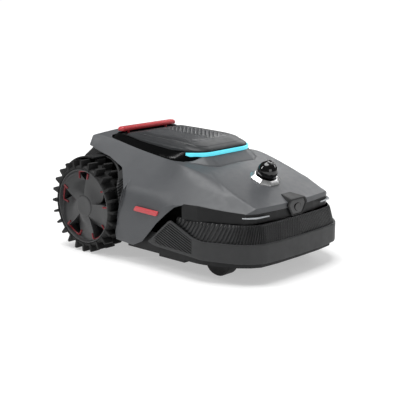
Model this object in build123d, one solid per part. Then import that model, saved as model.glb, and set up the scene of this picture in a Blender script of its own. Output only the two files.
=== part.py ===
from build123d import *
import os
from math import atan, cos, degrees, hypot, radians, sin

# Robotic lawn mower, millimetres. +X is forward, +Y the mower's left, +Z up, and the ground is z = 0.
# The origin lies on the ground under the middle of the overall box.

# ---------------------------------------------------------------- driving dimensions
BODY_LENGTH = 572.0          # rear of the wheel arches to the nose of the bumper
BODY_WIDTH = 390.0           # across the painted sides
BODY_HEIGHT = 262.0          # ground to the crown of the shell
STATION_ZERO = 3.0           # the places along the body are counted from here
SHELL_WALL = 3.5
TRIM_WALL = 3.0
SEAT_GAP = 0.3               # between pieces that move past each other
RUNNING_GAP = 0.05           # radial, shaft in bore

WHEEL_RADIUS = 104.0         # over the lugs
RIM_RADIUS = 84.0
CARCASS_RADIUS = 92.0
WHEEL_INNER_Y = 145.0
WHEEL_WIDTH = 60.0
LUG_COUNT = 24
LUG_TIP_WIDTH = 6.0
LUG_ROOT_WIDTH = 8.0
LUG_ROW_WIDTH = 27.0
SPOKE_COUNT = 5
WINDOW_WIDTH = 38.0          # the openings between the spokes
HUB_BOSS_RADIUS = 22.0
HUB_CAP_RADIUS = 25.0
AXLE_RADIUS = 6.0
ARCH_GAP = 3.0               # tyre lugs to the wheel-arch liner

CHASSIS_BOTTOM = 34.0        # ground clearance
CHASSIS_FLOOR = 4.0
CHASSIS_WALL = 4.0
CHASSIS_TOP = 78.0
REAR_BAY_HALF = 118.0        # half width of the drive bay between the wheels
REAR_BAY_TOP = 150.0
SKID_DEPTH = 7.0

CASTER_X = 179.0
CASTER_Y = 120.0
CASTER_RADIUS = 33.0
CASTER_WIDTH = 36.0
CASTER_TRAIL = 14.0
CASTER_SPINDLE_RADIUS = 5.0
CASTER_PIN_RADIUS = 3.0
FORK_ARM = 4.0

DECK_X = 20.0
DECK_RADIUS = 112.0
DECK_WELL_GAP = 4.0
DECK_TRAVEL = 20.0           # each way from the middle cutting height
BLADE_PLANE = 42.0
DISC_RADIUS = 80.0
DISC_THICKNESS = 3.0
BLADE_COUNT = 3
BLADE_PIVOT_RADIUS = 72.0
BLADE_LENGTH = 40.0
BLADE_WIDTH = 18.0
BLADE_THICKNESS = 1.0
BLADE_PIN_RADIUS = 2.5
CUT_MOTOR_RADIUS = 32.0
CUT_MOTOR_HEIGHT = 40.0
CUT_SHAFT_RADIUS = 5.0
GUIDE_RADIUS = 5.0
GUIDE_Y = 86.0
LIFT_X = -60.0
LIFT_RADIUS = 4.0
KNOB_RADIUS = 24.0
KNOB_HEIGHT = 20.0

BAY_FLOOR_Z = 206.0
BAY_WALL = 3.0
LID_WALL = 3.0
LID_REAR_X = -160.0
LID_FRONT_X = 70.0
HINGE_DROP = 10.0            # lid top to pin axis
HINGE_SETBACK = 10.0         # lid's rear edge to pin axis
HINGE_POST_Y = 55.0
HINGE_POST_WIDTH = 6.0
HINGE_KNUCKLE_RADIUS = 5.0
HINGE_KNUCKLE_WIDTH = 8.0
INSERT_THICKNESS = 1.2
HINGE_PIN_RADIUS = 2.0
BUTTON_RADIUS = 8.0
BUTTON_TRAVEL = 1.0
STOP_BAR_LENGTH = 174.0
STOP_BAR_DEPTH = 20.0
STOP_BAR_HEIGHT = 13.0
STOP_BAR_TRAVEL = 3.0
STOP_STEM_RADIUS = 3.0

BUMPER_WALL = 3.0
BUMPER_TRAVEL = 6.0
BUMPER_GUIDE_RADIUS = 4.0
BUMPER_GUIDE_LENGTH = 20.0
BUMPER_GUIDE_Y = 34.0
BUMPER_GUIDE_Z = 64.0
BUMPER_BOTTOM = 44.0
BUMPER_TOP = 84.0
GRILLE_TOP = 121.0
STRIP_DEPTH = 4.0
STRIP_LOW_Z = 228.5
STRIP_HIGH_Z = 237.5
DOME_RADIUS = 22.0
DOME_X = 178.0
DOME_LIFT = 18.0             # dome centre above the hood
BEZEL_HALF = 33.0
BEZEL_HEIGHT = 6.0
CAMERA_HALF = 33.0
CAMERA_DEPTH = 32.0
CAMERA_LENS_RADIUS = 9.0


def px(x):
    """A place along the body, which follows the overall length."""
    return (x + STATION_ZERO) * BODY_LENGTH / 572.0


def py(y):
    """A place across the body, which follows the overall width."""
    return y * BODY_WIDTH / 390.0


def pz(z):
    """A height on the upper body, which follows the overall height."""
    return z * BODY_HEIGHT / 262.0


# ---------------------------------------------------------------- places worked out from them
NOSE_X = px(283.0)
WHEEL_Y = py(WHEEL_INNER_Y)
WHEEL_OUT_Y = WHEEL_Y + WHEEL_WIDTH
DECK_WELL_RADIUS = DECK_RADIUS + DECK_WELL_GAP
DECK_HOOD_Z = BLADE_PLANE + 10.0
DECK_HOOD = 4.0
BUSH_HEIGHT = 2 * DECK_TRAVEL + 2.0
WELL_ROOF_Z = DECK_HOOD_Z + DECK_HOOD + BUSH_HEIGHT + DECK_TRAVEL + 4.0
CASTER_WELL_RADIUS = hypot(CASTER_TRAIL + CASTER_RADIUS, CASTER_WIDTH / 2) + 1.7
CASTER_WELL_ROOF = 2 * CASTER_RADIUS + 7.0 + SEAT_GAP
LINER_INNER = WHEEL_RADIUS + ARCH_GAP
LINER_OUTER = LINER_INNER + TRIM_WALL
WHEEL_X = LINER_OUTER - BODY_LENGTH / 2
HOOD_SLOPE = 0.38
HOOD_TILT = degrees(atan(HOOD_SLOPE))
DOME_HOOD_Z = pz(187.0)

# Upper shell, section by section: x, crown z, crease (y, z), shoulder (y, z). Both halves are alike.
SHELL_STATIONS = [
    (-226, 261, (126, 254), (150, 200)),
    (-180, 259, (115, 247), (190, 175)),
    (-100, 247, (112, 233), (189, 160)),
    (-50, 238, (112, 226), (190, 157)),
    (5, 229, (114, 219), (190, 156)),
    (60, 222, (129, 216), (191, 153)),
    (100, 212, (131, 206), (190, 150)),
    (140, 201, (129, 194), (183, 147)),
    (180, 186, (125, 181), (169, 145)),
    (205, 176, (122, 171), (156, 143)),
    (240, 161, (118, 156), (139, 141)),
    (266, 151, (116, 149), (124, 140)),
]
# The hood's front edge seen from above.
HOOD_NOSE = [(240, 139), (253, 116), (260, 62), (264, 0)]
# The shell's lower edge seen from the side, from the rear corner over the wheel arch to the nose.
SHELL_EDGE = [
    (-240, 229), (-222, 229), (-150, 213), (-102, 196), (-57, 157), (-58, 148), (-63, 124), (-72, 94),
    (-81, 60), (-78, 45), (-25, 43), (4, 57), (46, 102), (76, 128), (95, 144), (117, 152.5),
    (150, 152), (205, 146), (240, 143), (290, 142),
]
# The bumper's outer face seen from above, right half, from the side's rear end to the middle of the nose.
BUMPER_PLAN = [
    (22, 194), (150, 194), (172, 191), (207, 176), (241, 161), (263, 141), (277, 118), (282, 69), (283, 0),
]
GRILLE_SETBACK = 11.0        # how far the grille's top edge leans back from its bottom edge
LID_PLAN = [(-100, 93), (-10, 95), (40, 91), (61, 78)]
BAY_PLAN = [(-192, 100), (-180, 110), (20, 110), (60, 97), (74, 72)]
BAY_TOP_PLAN = [(-190, 86), (-168, 92), (20, 97), (40, 96), (60, 80), (71, 60)]


# ---------------------------------------------------------------- helpers
def flat(points):
    """A face inside a closed outline of points."""
    return make_face(Polyline(*points, close=True).edges())


def both_sides(half):
    """An outline for the whole width from its half with y > 0, given from rear to front."""
    return half + [(x, -y) for x, y in reversed(half) if y > 0]


def prism_xy(points, low, high):
    return Pos(0, 0, low) * extrude(flat([(x, y, 0) for x, y in points]), high - low, dir=(0, 0, 1))


def prism_xz(points, y_low, y_high):
    return extrude(flat([(x, y_low, z) for x, z in points]), y_high - y_low, dir=(0, 1, 0))


def block(x0, x1, y0, y1, z0, z1):
    return Pos((x0 + x1) / 2, (y0 + y1) / 2, (z0 + z1) / 2) * Box(x1 - x0, abs(y1 - y0), z1 - z0)


def rod_z(x, y, radius, z0, z1):
    return Pos(x, y, (z0 + z1) / 2) * Cylinder(radius, z1 - z0)


def rod_y(x, z, radius, y0, y1):
    return Pos(x, (y0 + y1) / 2, z) * Rot(90, 0, 0) * Cylinder(radius, abs(y1 - y0))


def mirrored(shape):
    return mirror(shape, about=Plane.XZ)


def pair(shape):
    """The piece on the left and its twin on the right, as two solids."""
    return Compound(children=list(shape.solids()) + list(mirrored(shape).solids()))


def inset(points, distance):
    """An open outline moved towards the body's middle line by a distance, corner by corner."""
    moved = []
    for i, (x, y) in enumerate(points):
        x0, y0 = points[max(i - 1, 0)]
        x1, y1 = points[min(i + 1, len(points) - 1)]
        if y == 0:
            x0, y0, x1, y1 = x, 1, x, -1
        run = hypot(x1 - x0, y1 - y0)
        moved.append((x + (y1 - y0) / run * distance, y - (x1 - x0) / run * distance))
    return moved


# ---------------------------------------------------------------- the shell's volumes
def shell_volume(setback):
    """The closed volume under the shell's skin, moved inwards by setback."""
    lean = 0.6 * setback
    first, last = SHELL_STATIONS[0][0], SHELL_STATIONS[-1][0]
    sections = []
    for x, crown, (crease_y, crease_z), (shoulder_y, shoulder_z) in SHELL_STATIONS:
        side_y = min(py(shoulder_y) + 5.0, BODY_WIDTH / 2)
        half = [
            (side_y - setback, 10.0),
            (side_y - setback, pz(shoulder_z) - 22.0),
            (py(shoulder_y) - setback, pz(shoulder_z) - lean),
            (py(crease_y) - lean, pz(crease_z) - 1.1 * setback),
        ]
        ring = half + [(0, pz(crown) - setback)] + [(-y, z) for y, z in reversed(half)]
        at = px(x) + (setback if x == first else 0.0) - (setback if x == last else 0.0)
        sections.append(flat([(at, y, z) for y, z in ring]))
    body = loft(sections, ruled=True)
    nose = inset([(px(x), py(y)) for x, y in HOOD_NOSE], setback)
    plan = [(px(-300), py(260))] + [(px(200), py(260))] + [(nose[0][0], py(260))] + nose[:-1]
    plan += [nose[-1]] + [(x, -y) for x, y in reversed(nose[:-1])]
    plan += [(nose[0][0], -py(260)), (px(-300), -py(260))]
    return body & prism_xy(plan, 0, pz(300))


def below_edge(drop=0.0):
    """Everything lower than the shell's lower edge."""
    line = [(px(x), pz(z) - drop if z > 70 else z) for x, z in SHELL_EDGE]
    return prism_xz([(px(-240), -20)] + line + [(px(290), -20)], -py(300), py(300))


def bay_outline(margin):
    """The control bay's outer wall from above, at the shell's skin, with a margin outwards."""
    return both_sides([(px(x) + (margin if x > 0 else -margin), py(y) + margin) for x, y in BAY_PLAN])


def apron_outline(margin):
    half = [(px(66), py(88) + margin), (px(87), py(80) + margin), (px(101) + margin, py(58))]
    return both_sides(half)


def make_upper_shell(outer, inner):
    shell = outer - inner
    shell -= below_edge()
    shell -= prism_xy(bay_outline(SEAT_GAP), pz(150), pz(300))
    shell -= prism_xy(apron_outline(SEAT_GAP), pz(150), pz(300))
    shell -= Pos(px(DOME_X), 0, DOME_HOOD_Z) * Rot(0, HOOD_TILT, 0) * Cylinder(DOME_RADIUS + 2, 60)
    return shell - camera_notch()


# ---------------------------------------------------------------- chassis
def chassis_outline(margin):
    """The tub's front part from above, inside the bumper's whole travel."""
    half = [(px(x), py(y)) for x, y in BUMPER_PLAN]
    front = inset(half, BUMPER_WALL + BUMPER_TRAVEL + 2.0 + margin)[1:]
    side = front[0][1]
    return both_sides([(px(-52) + margin, side)] + front)


def make_chassis_tub():
    floor = CHASSIS_BOTTOM
    rear_x = px(-262)
    rear = block(rear_x, px(-40), -REAR_BAY_HALF, REAR_BAY_HALF, floor, REAR_BAY_TOP)
    front = prism_xy(chassis_outline(0.0), floor, CHASSIS_TOP)
    well = rod_z(px(DECK_X), 0, DECK_WELL_RADIUS + CHASSIS_WALL, floor, WELL_ROOF_Z + CHASSIS_WALL)
    tub = rear + front
    w = CHASSIS_WALL
    tub -= block(rear_x + w, px(-40) - w, w - REAR_BAY_HALF, REAR_BAY_HALF - w, floor + w, REAR_BAY_TOP + 1)
    tub -= prism_xy(chassis_outline(w), floor + CHASSIS_FLOOR, REAR_BAY_TOP + 1)
    tub += well
    for side in (-1, 1):
        y = side * py(CASTER_Y)
        tub += rod_z(px(CASTER_X), y, CASTER_WELL_RADIUS + TRIM_WALL, floor, CASTER_WELL_ROOF + w)
        tub += rod_z(px(CASTER_X), y, 12.0, CASTER_WELL_ROOF, CASTER_WELL_ROOF + 22)
        tub += block(px(39), px(113), side * (py(172) - 7), side * (py(172) + 7), floor - SKID_DEPTH, floor)
        for x in (px(DECK_X) - 40, px(DECK_X) + 50):
            tub += rod_z(x, side * 50, 4.0, WELL_ROOF_Z + w, WELL_ROOF_Z + w + 4)
    tub -= rod_z(px(DECK_X), 0, DECK_WELL_RADIUS, floor - 1, WELL_ROOF_Z)
    tub -= rod_z(px(LIFT_X), 0, LIFT_RADIUS + RUNNING_GAP, WELL_ROOF_Z - 1, WELL_ROOF_Z + 9)
    for side in (-1, 1):
        y = side * py(CASTER_Y)
        tub -= rod_z(px(CASTER_X), y, CASTER_WELL_RADIUS, floor - 1, CASTER_WELL_ROOF)
        tub -= rod_z(px(CASTER_X), y, CASTER_SPINDLE_RADIUS + RUNNING_GAP, CASTER_WELL_ROOF - 1, 150)
        tub -= rod_z(px(DECK_X), side * GUIDE_Y, GUIDE_RADIUS, WELL_ROOF_Z - 1, WELL_ROOF_Z + 9)
        ends = (side * (REAR_BAY_HALF - w - 1), side * (REAR_BAY_HALF + 1))
        tub -= rod_y(WHEEL_X, WHEEL_RADIUS, AXLE_RADIUS + RUNNING_GAP, *ends)
        tub -= guide_rod(side, BUMPER_GUIDE_RADIUS + RUNNING_GAP, NOSE_X - 40, NOSE_X)
    tub -= battery_hatch(SEAT_GAP)
    return tub


def battery_hatch(margin):
    """The hatch in the chassis floor under the battery."""
    half_x = 43.0 + margin
    half_y = 48.0 + margin
    middle = px(198)
    z0 = CHASSIS_BOTTOM
    return block(middle - half_x, middle + half_x, -half_y, half_y, z0, z0 + CHASSIS_FLOOR)


def make_battery_pack():
    middle = px(198)
    z0 = CHASSIS_BOTTOM + CHASSIS_FLOOR
    pack = block(middle - 46, middle + 46, -52, 52, z0, z0 + 48)
    return fillet(pack.edges().filter_by(Axis.Z), 6)


def make_main_board():
    z0 = WELL_ROOF_Z + CHASSIS_WALL + 4
    return block(px(DECK_X) - 48, px(DECK_X) + 58, -56, 56, z0, z0 + 1.6)


def make_rear_housing():
    outer = [(-190, 228.7), (-226, 228.7), (-265, 199), (-276, 185), (-279, 120), (-272, 62), (-262.3, 60)]
    inner = [(-190, 225), (-225, 225), (-263, 197), (-273, 184), (-276, 120), (-269, 66), (-262.3, 64)]
    step = [(-262.3, REAR_BAY_TOP + SEAT_GAP), (-190, REAR_BAY_TOP + SEAT_GAP)]
    half = REAR_BAY_HALF - SEAT_GAP

    def line(points):
        return [(px(x), pz(z) if z > REAR_BAY_TOP + 1 else z) for x, z in points]

    cover = prism_xz(line(outer + step), -half, half)
    hollow = prism_xz(line(inner + step), TRIM_WALL - half, half - TRIM_WALL)
    return cover - hollow


def make_charging_contacts():
    contact = block(px(-279) - 1.5, px(-279), 18, 32, 112, 128)
    face_gap = block(px(-279) - 1.5, px(-279) + 1, 18, 32, 120, 128)
    return pair(contact & face_gap)


# ---------------------------------------------------------------- wheels
def arch_band(inner_radius, outer_radius, low_angle, high_angle, y0, y1):
    """A band around the axle between two angles, counted from straight ahead over the top."""
    reach = 2 * outer_radius
    middle = radians((low_angle + high_angle) / 2)
    half = radians((high_angle - low_angle) / 2)
    corners = [(0, 0)]
    for step in (-1, -0.5, 0, 0.5, 1):
        angle = middle + step * half
        corners.append((reach * cos(angle), reach * sin(angle)))
    wedge = prism_xz([(WHEEL_X + x, WHEEL_RADIUS + z) for x, z in corners], y0, y1)
    ring = rod_y(WHEEL_X, WHEEL_RADIUS, outer_radius, y0, y1)
    ring -= rod_y(WHEEL_X, WHEEL_RADIUS, inner_radius, y0 - 1, y1 + 1)
    return ring & wedge


def make_wheel_arch_liner(inner, shell):
    y0 = REAR_BAY_HALF + SEAT_GAP
    rear = arch_band(LINER_INNER, LINER_OUTER, 82, 192, y0, py(181))
    front = arch_band(LINER_INNER, LINER_OUTER, -28, 83, y0, py(181)) & inner
    disc = rod_y(WHEEL_X, WHEEL_RADIUS, LINER_OUTER, y0, y0 + TRIM_WALL)
    disc -= rod_y(WHEEL_X, WHEEL_RADIUS, AXLE_RADIUS + 8, y0 - 1, y0 + 9)
    disc -= block(px(-300), px(100), 0, 200, -10, CHASSIS_BOTTOM + 4)
    return (rear + front + disc) - shell


def make_side_louvre(inner, liner):
    """The crescent of trim between the wheel arch and the shell's edge."""
    edge = [(px(-102), pz(196)), (px(-57), pz(157)), (px(-58), pz(148)), (px(-63), pz(124))]
    crescent = prism_xz([(WHEEL_X, WHEEL_RADIUS)] + edge[::-1], py(120), py(187))
    crescent -= rod_y(WHEEL_X, WHEEL_RADIUS, LINER_OUTER, 0, BODY_WIDTH)
    return (crescent & inner) - liner - Pos(0, -2 * TRIM_WALL, 0) * inner


def lug_row(turn):
    """A ring of lugs as a gear-like outline: straight flanks and flat tips."""
    outline = []
    root = CARCASS_RADIUS - 2.0
    for i in range(LUG_COUNT):
        angle = radians(360.0 / LUG_COUNT * i + turn)
        for along, across in (
            (root, -LUG_ROOT_WIDTH / 2),
            (WHEEL_RADIUS, -LUG_TIP_WIDTH / 2),
            (WHEEL_RADIUS, LUG_TIP_WIDTH / 2),
            (root, LUG_ROOT_WIDTH / 2),
        ):
            outline.append((
                WHEEL_X + along * cos(angle) - across * sin(angle),
                WHEEL_RADIUS + along * sin(angle) + across * cos(angle),
            ))
    return outline


def make_tyre():
    y0, y1 = WHEEL_Y, WHEEL_OUT_Y
    carcass = rod_y(WHEEL_X, WHEEL_RADIUS, CARCASS_RADIUS, y0 + 2, y1 - 2)
    tyre = carcass + prism_xz(lug_row(0.0), y1 - LUG_ROW_WIDTH, y1)
    tyre += prism_xz(lug_row(180.0 / LUG_COUNT), y0, y0 + LUG_ROW_WIDTH)
    return tyre - rod_y(WHEEL_X, WHEEL_RADIUS, RIM_RADIUS, y0 - 1, y1 + 1)


def make_wheel_hub():
    y0, y1 = WHEEL_Y + 3, WHEEL_OUT_Y - 5
    centre = (WHEEL_X, WHEEL_RADIUS)
    rim = rod_y(*centre, RIM_RADIUS, y0, y1) - rod_y(*centre, RIM_RADIUS - 5, y0 - 1, y1 + 1)
    web = rod_y(*centre, RIM_RADIUS - 4, y1 - 12, y1 - 2)
    for i in range(SPOKE_COUNT):
        angle = radians(360.0 / SPOKE_COUNT * i + 97.0)
        at = (WHEEL_X + 67 * cos(angle), WHEEL_RADIUS + 67 * sin(angle))
        window = Pos(at[0], 0, at[1]) * Rot(0, -degrees(angle), 0) * Box(20, 600, WINDOW_WIDTH)
        web -= window
    boss = rod_y(*centre, HUB_BOSS_RADIUS, y0, y1 - 1)
    return (rim + web + boss) - rod_y(*centre, AXLE_RADIUS, y0 - 1, y1 - 8)


def make_hub_cap():
    y1 = WHEEL_OUT_Y - 6
    return rod_y(WHEEL_X, WHEEL_RADIUS, HUB_CAP_RADIUS, y1, y1 + 3)


def make_wheel_axle():
    return rod_y(WHEEL_X, WHEEL_RADIUS, AXLE_RADIUS, REAR_BAY_HALF - CHASSIS_WALL - 22, WHEEL_OUT_Y - 13)


def make_drive_motor():
    """Gear motor: a can towards the middle and a gearbox against the drive bay's wall."""
    wall = REAR_BAY_HALF - CHASSIS_WALL
    motor = rod_y(WHEEL_X, WHEEL_RADIUS, 24, 16, wall - 24)
    motor += block(WHEEL_X - 32, WHEEL_X + 32, wall - 24, wall, WHEEL_RADIUS - 32, WHEEL_RADIUS + 32)
    return motor - rod_y(WHEEL_X, WHEEL_RADIUS, AXLE_RADIUS + RUNNING_GAP, wall - 22.5, wall + 1)


# ---------------------------------------------------------------- casters
def make_caster_fork():
    x, y = px(CASTER_X), py(CASTER_Y)
    wheel_x = x - CASTER_TRAIL
    half = CASTER_WIDTH / 2 + 0.5
    crown_z = 2 * CASTER_RADIUS + 2
    crown = rod_z(x, y, 15, crown_z, crown_z + 5)
    crown += block(wheel_x - 8, x, y - half - FORK_ARM, y + half + FORK_ARM, crown_z, crown_z + 5)
    for side in (-1, 1):
        ends = (y + side * half, y + side * (half + FORK_ARM))
        crown += block(wheel_x - 8, wheel_x + 8, *ends, CASTER_RADIUS, crown_z + 5)
        crown += rod_y(wheel_x, CASTER_RADIUS, 8, *ends)
    crown += rod_z(x, y, CASTER_SPINDLE_RADIUS, crown_z, CASTER_WELL_ROOF + 20)
    reach = half + FORK_ARM
    return crown - rod_y(wheel_x, CASTER_RADIUS, CASTER_PIN_RADIUS, y - reach - 1, y + reach + 1)


def make_caster_axle():
    reach = CASTER_WIDTH / 2 + 0.5 + FORK_ARM
    y = py(CASTER_Y)
    return rod_y(px(CASTER_X) - CASTER_TRAIL, CASTER_RADIUS, CASTER_PIN_RADIUS, y - reach, y + reach)


def make_caster_wheel():
    y = py(CASTER_Y)
    centre = (px(CASTER_X) - CASTER_TRAIL, CASTER_RADIUS)
    half = CASTER_WIDTH / 2
    wheel = rod_y(*centre, CASTER_RADIUS, y - half, y + half)
    wheel = chamfer(wheel.edges().filter_by(GeomType.CIRCLE), 5, 3)
    return wheel - rod_y(*centre, CASTER_PIN_RADIUS + RUNNING_GAP, y - half - 1, y + half + 1)


# ---------------------------------------------------------------- cutting deck
def make_cutting_deck():
    x = px(DECK_X)
    top = DECK_HOOD_Z + DECK_HOOD
    deck = rod_z(x, 0, DECK_RADIUS, BLADE_PLANE - 2, top)
    deck -= rod_z(x, 0, DECK_RADIUS - 3, BLADE_PLANE - 3, DECK_HOOD_Z)
    deck += rod_z(px(LIFT_X), 0, 9, DECK_HOOD_Z, top + BUSH_HEIGHT)
    for side in (-1, 1):
        deck += rod_z(x, side * GUIDE_Y, 9, DECK_HOOD_Z, top + BUSH_HEIGHT)
        deck -= rod_z(x, side * GUIDE_Y, GUIDE_RADIUS + RUNNING_GAP, DECK_HOOD_Z - 1, top + BUSH_HEIGHT + 1)
    deck -= rod_z(px(LIFT_X), 0, LIFT_RADIUS + RUNNING_GAP, DECK_HOOD_Z - 1, top + BUSH_HEIGHT + 1)
    return deck - rod_z(x, 0, CUT_SHAFT_RADIUS + RUNNING_GAP, DECK_HOOD_Z - 1, top + 1)


def make_cutting_motor():
    top = DECK_HOOD_Z + DECK_HOOD
    motor = rod_z(px(DECK_X), 0, CUT_MOTOR_RADIUS, top, top + CUT_MOTOR_HEIGHT)
    motor = chamfer(motor.edges().sort_by(Axis.Z)[-1], 3)
    return motor - rod_z(px(DECK_X), 0, CUT_SHAFT_RADIUS + RUNNING_GAP, top - 1, top + 22)


def make_deck_guides():
    low = DECK_HOOD_Z + DECK_HOOD + DECK_TRAVEL - 8
    return pair(rod_z(px(DECK_X), GUIDE_Y, GUIDE_RADIUS, low, WELL_ROOF_Z + CHASSIS_WALL))


def make_lift_screw():
    low = DECK_HOOD_Z + DECK_HOOD + DECK_TRAVEL - 8
    return rod_z(px(LIFT_X), 0, LIFT_RADIUS, low, pz(BAY_FLOOR_Z) + 5 + KNOB_HEIGHT - 4)


def make_height_knob():
    z0 = pz(BAY_FLOOR_Z) + 5
    knob = rod_z(px(LIFT_X), 0, KNOB_RADIUS, z0, z0 + KNOB_HEIGHT)
    for i in range(12):
        angle = radians(30.0 * i)
        knob -= rod_z(px(LIFT_X) + 26 * cos(angle), 26 * sin(angle), 4, z0 + 4, z0 + KNOB_HEIGHT + 1)
    return knob - rod_z(px(LIFT_X), 0, LIFT_RADIUS, z0 - 1, z0 + KNOB_HEIGHT - 4)


def pivot_places():
    """Where the blades hang on the disc."""
    for i in range(BLADE_COUNT):
        angle = radians(360.0 / BLADE_COUNT * i + 60.0)
        yield px(DECK_X) + BLADE_PIVOT_RADIUS * cos(angle), BLADE_PIVOT_RADIUS * sin(angle), degrees(angle)


def make_blade_disc():
    x = px(DECK_X)
    z0 = BLADE_PLANE + 1
    disc = rod_z(x, 0, DISC_RADIUS, z0, z0 + DISC_THICKNESS)
    disc += rod_z(x, 0, 12, z0, DECK_HOOD_Z - 1)
    disc += rod_z(x, 0, CUT_SHAFT_RADIUS, z0, DECK_HOOD_Z + DECK_HOOD + 20)
    for cx, cy, _ in pivot_places():
        disc -= rod_z(cx, cy, BLADE_PIN_RADIUS, z0 - 1, z0 + DISC_THICKNESS + 1)
    return disc


def make_blade(place):
    cx, cy, turn = place
    body = Pos(BLADE_LENGTH / 2 - 6, 0, 0) * Box(BLADE_LENGTH, BLADE_WIDTH, BLADE_THICKNESS)
    body = chamfer(body.edges().filter_by(Axis.Z), 3)
    body -= Cylinder(BLADE_PIN_RADIUS + RUNNING_GAP, 5)
    return Pos(cx, cy, BLADE_PLANE) * Rot(0, 0, turn) * body


def make_blade_screws():
    screws = []
    for cx, cy, _ in pivot_places():
        screw = rod_z(cx, cy, BLADE_PIN_RADIUS, BLADE_PLANE - 0.8, BLADE_PLANE + 1 + DISC_THICKNESS)
        screw += rod_z(cx, cy, 4.5, BLADE_PLANE - 2.5, BLADE_PLANE - 0.8)
        screws += screw.solids()
    return Compound(children=screws)


# ---------------------------------------------------------------- control bay and lid
def lid_top(x):
    """Height of the lid's crown at x."""
    if x < px(19):
        return pz(264) - (x - px(-180)) * pz(6) / px(199)
    return pz(258) - (x - px(19)) * pz(11) / px(52)


def lid_half_plan(margin):
    half = [(px(LID_REAR_X) - margin, py(88) + margin)]
    half += [(px(x) + (margin if x > 50 else 0), py(y) + margin) for x, y in LID_PLAN]
    return half + [(px(LID_FRONT_X) + margin, py(60))]


def lid_edge_line(drop):
    return [
        (px(-230), pz(257) - drop), (px(-180), pz(257) - drop),
        (px(-104), pz(246) - drop), (px(-10), pz(238) - drop), (px(120), pz(239) - drop),
    ]


def hinge_axis():
    x = px(LID_REAR_X) + HINGE_SETBACK
    return x, lid_top(x) - HINGE_DROP


def hinge_post_ends(side, margin):
    """The two ends along Y of a hinge post."""
    half = HINGE_POST_WIDTH / 2 + margin
    return side * (HINGE_POST_Y - half), side * (HINGE_POST_Y + half)


def make_control_bay():
    """Black surround of the bay: a sloping rim, a tub for the controls and a step for the stop bar."""
    low_plan = bay_outline(0.0)
    low_plan = low_plan[:5] + [(px(74) + 0.1, 0)] + low_plan[5:]
    low = flat([(x, y, pz(220) - 0.133 * x) for x, y in low_plan])
    high_plan = both_sides([(px(x), py(y)) for x, y in BAY_TOP_PLAN])
    high = flat([(x, y, pz(236) - 0.116 * x) for x, y in high_plan])
    rim = extrude(Pos(0, 0, -10) * low, 10, dir=(0, 0, 1)) + prism_xy(high_plan, pz(215), pz(262))
    rim += loft([low, high], ruled=True)
    rim -= prism_xz(lid_edge_line(0.5) + [(px(120), pz(300)), (px(-230), pz(300))], -py(200), py(200))
    rear_x = px(LID_REAR_X) - 5
    floor = pz(BAY_FLOOR_Z)
    bay = rim + block(rear_x - BAY_WALL, px(58) + BAY_WALL, -py(83), py(83), floor - BAY_WALL, pz(225))
    bay -= block(rear_x, px(58), BAY_WALL - py(83), py(83) - BAY_WALL, floor, pz(300))
    hx, hz = hinge_axis()
    swing = hypot(HINGE_SETBACK, HINGE_DROP) + 2 * SEAT_GAP
    swing_y = py(90) + SEAT_GAP
    bay -= rod_y(hx, hz, swing, -swing_y, swing_y) & block(hx - 30, hx, -swing_y, swing_y, hz - 30, hz + 30)
    for side in (-1, 1):
        ends = hinge_post_ends(side, 0.0)
        radius = HINGE_KNUCKLE_RADIUS
        bay += block(hx - radius, hx + radius, *ends, floor - BAY_WALL, hz) + rod_y(hx, hz, radius, *ends)
        bay -= rod_y(hx, hz, HINGE_PIN_RADIUS, *ends)
        stem_x = stop_bar_x()
        bay -= rod_z(stem_x, side * 60, STOP_STEM_RADIUS + RUNNING_GAP, pz(200), pz(280))
    bay -= rod_z(px(LIFT_X), 0, LIFT_RADIUS + RUNNING_GAP, floor - BAY_WALL - 1, floor + 1)
    seat_x, seat_y = STOP_BAR_DEPTH / 2 + 1, STOP_BAR_LENGTH / 2 + 1
    seat_z = pz(257) - STOP_BAR_TRAVEL - SEAT_GAP
    return bay - block(stop_bar_x() - seat_x, stop_bar_x() + seat_x, -seat_y, seat_y, seat_z, pz(280))


def make_lid_shell():
    plan = both_sides(lid_half_plan(0.0))
    lid = prism_xy(plan, pz(225), pz(275))
    crown = [(px(-180), lid_top(px(-180))), (px(19), lid_top(px(19))), (px(90), lid_top(px(90)))]
    under = [(x, z - LID_WALL) for x, z in crown]
    above = prism_xz(crown + [(px(90), pz(320)), (px(-180), pz(320))], -py(150), py(150))
    edge = lid_edge_line(0.0)
    below = prism_xz(edge + [(px(120), pz(180)), (px(-230), pz(180))], -py(150), py(150))
    hollow = prism_xy(both_sides(lid_half_plan(-LID_WALL)), pz(225), pz(275))
    hollow -= prism_xz(under + [(px(90), pz(320)), (px(-180), pz(320))], -py(150), py(150))
    lid = lid - above - below - hollow
    hx, hz = hinge_axis()
    for side in (-1, 1):
        clear = hinge_post_ends(side, SEAT_GAP)
        ends = (clear[0], clear[0] - side * HINGE_KNUCKLE_WIDTH)
        radius = HINGE_KNUCKLE_RADIUS
        lid += block(hx - radius, hx + radius, *ends, hz, lid_top(hx) - 1) + rod_y(hx, hz, radius, *ends)
        lid -= rod_y(hx, hz, HINGE_PIN_RADIUS + RUNNING_GAP, *ends)
        lid -= block(px(LID_REAR_X) - 1, hx, *clear, hz - 20, lid_top(hx) - LID_WALL)
    recess = prism_xy(both_sides([(px(-128), 58), (px(-90), 66), (px(20), 58)]), pz(240), pz(275))
    sunk = [(x, z - INSERT_THICKNESS) for x, z in crown]
    return lid - (recess & prism_xz(sunk + [(px(90), pz(320)), (px(-180), pz(320))], -90, 90))


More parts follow.
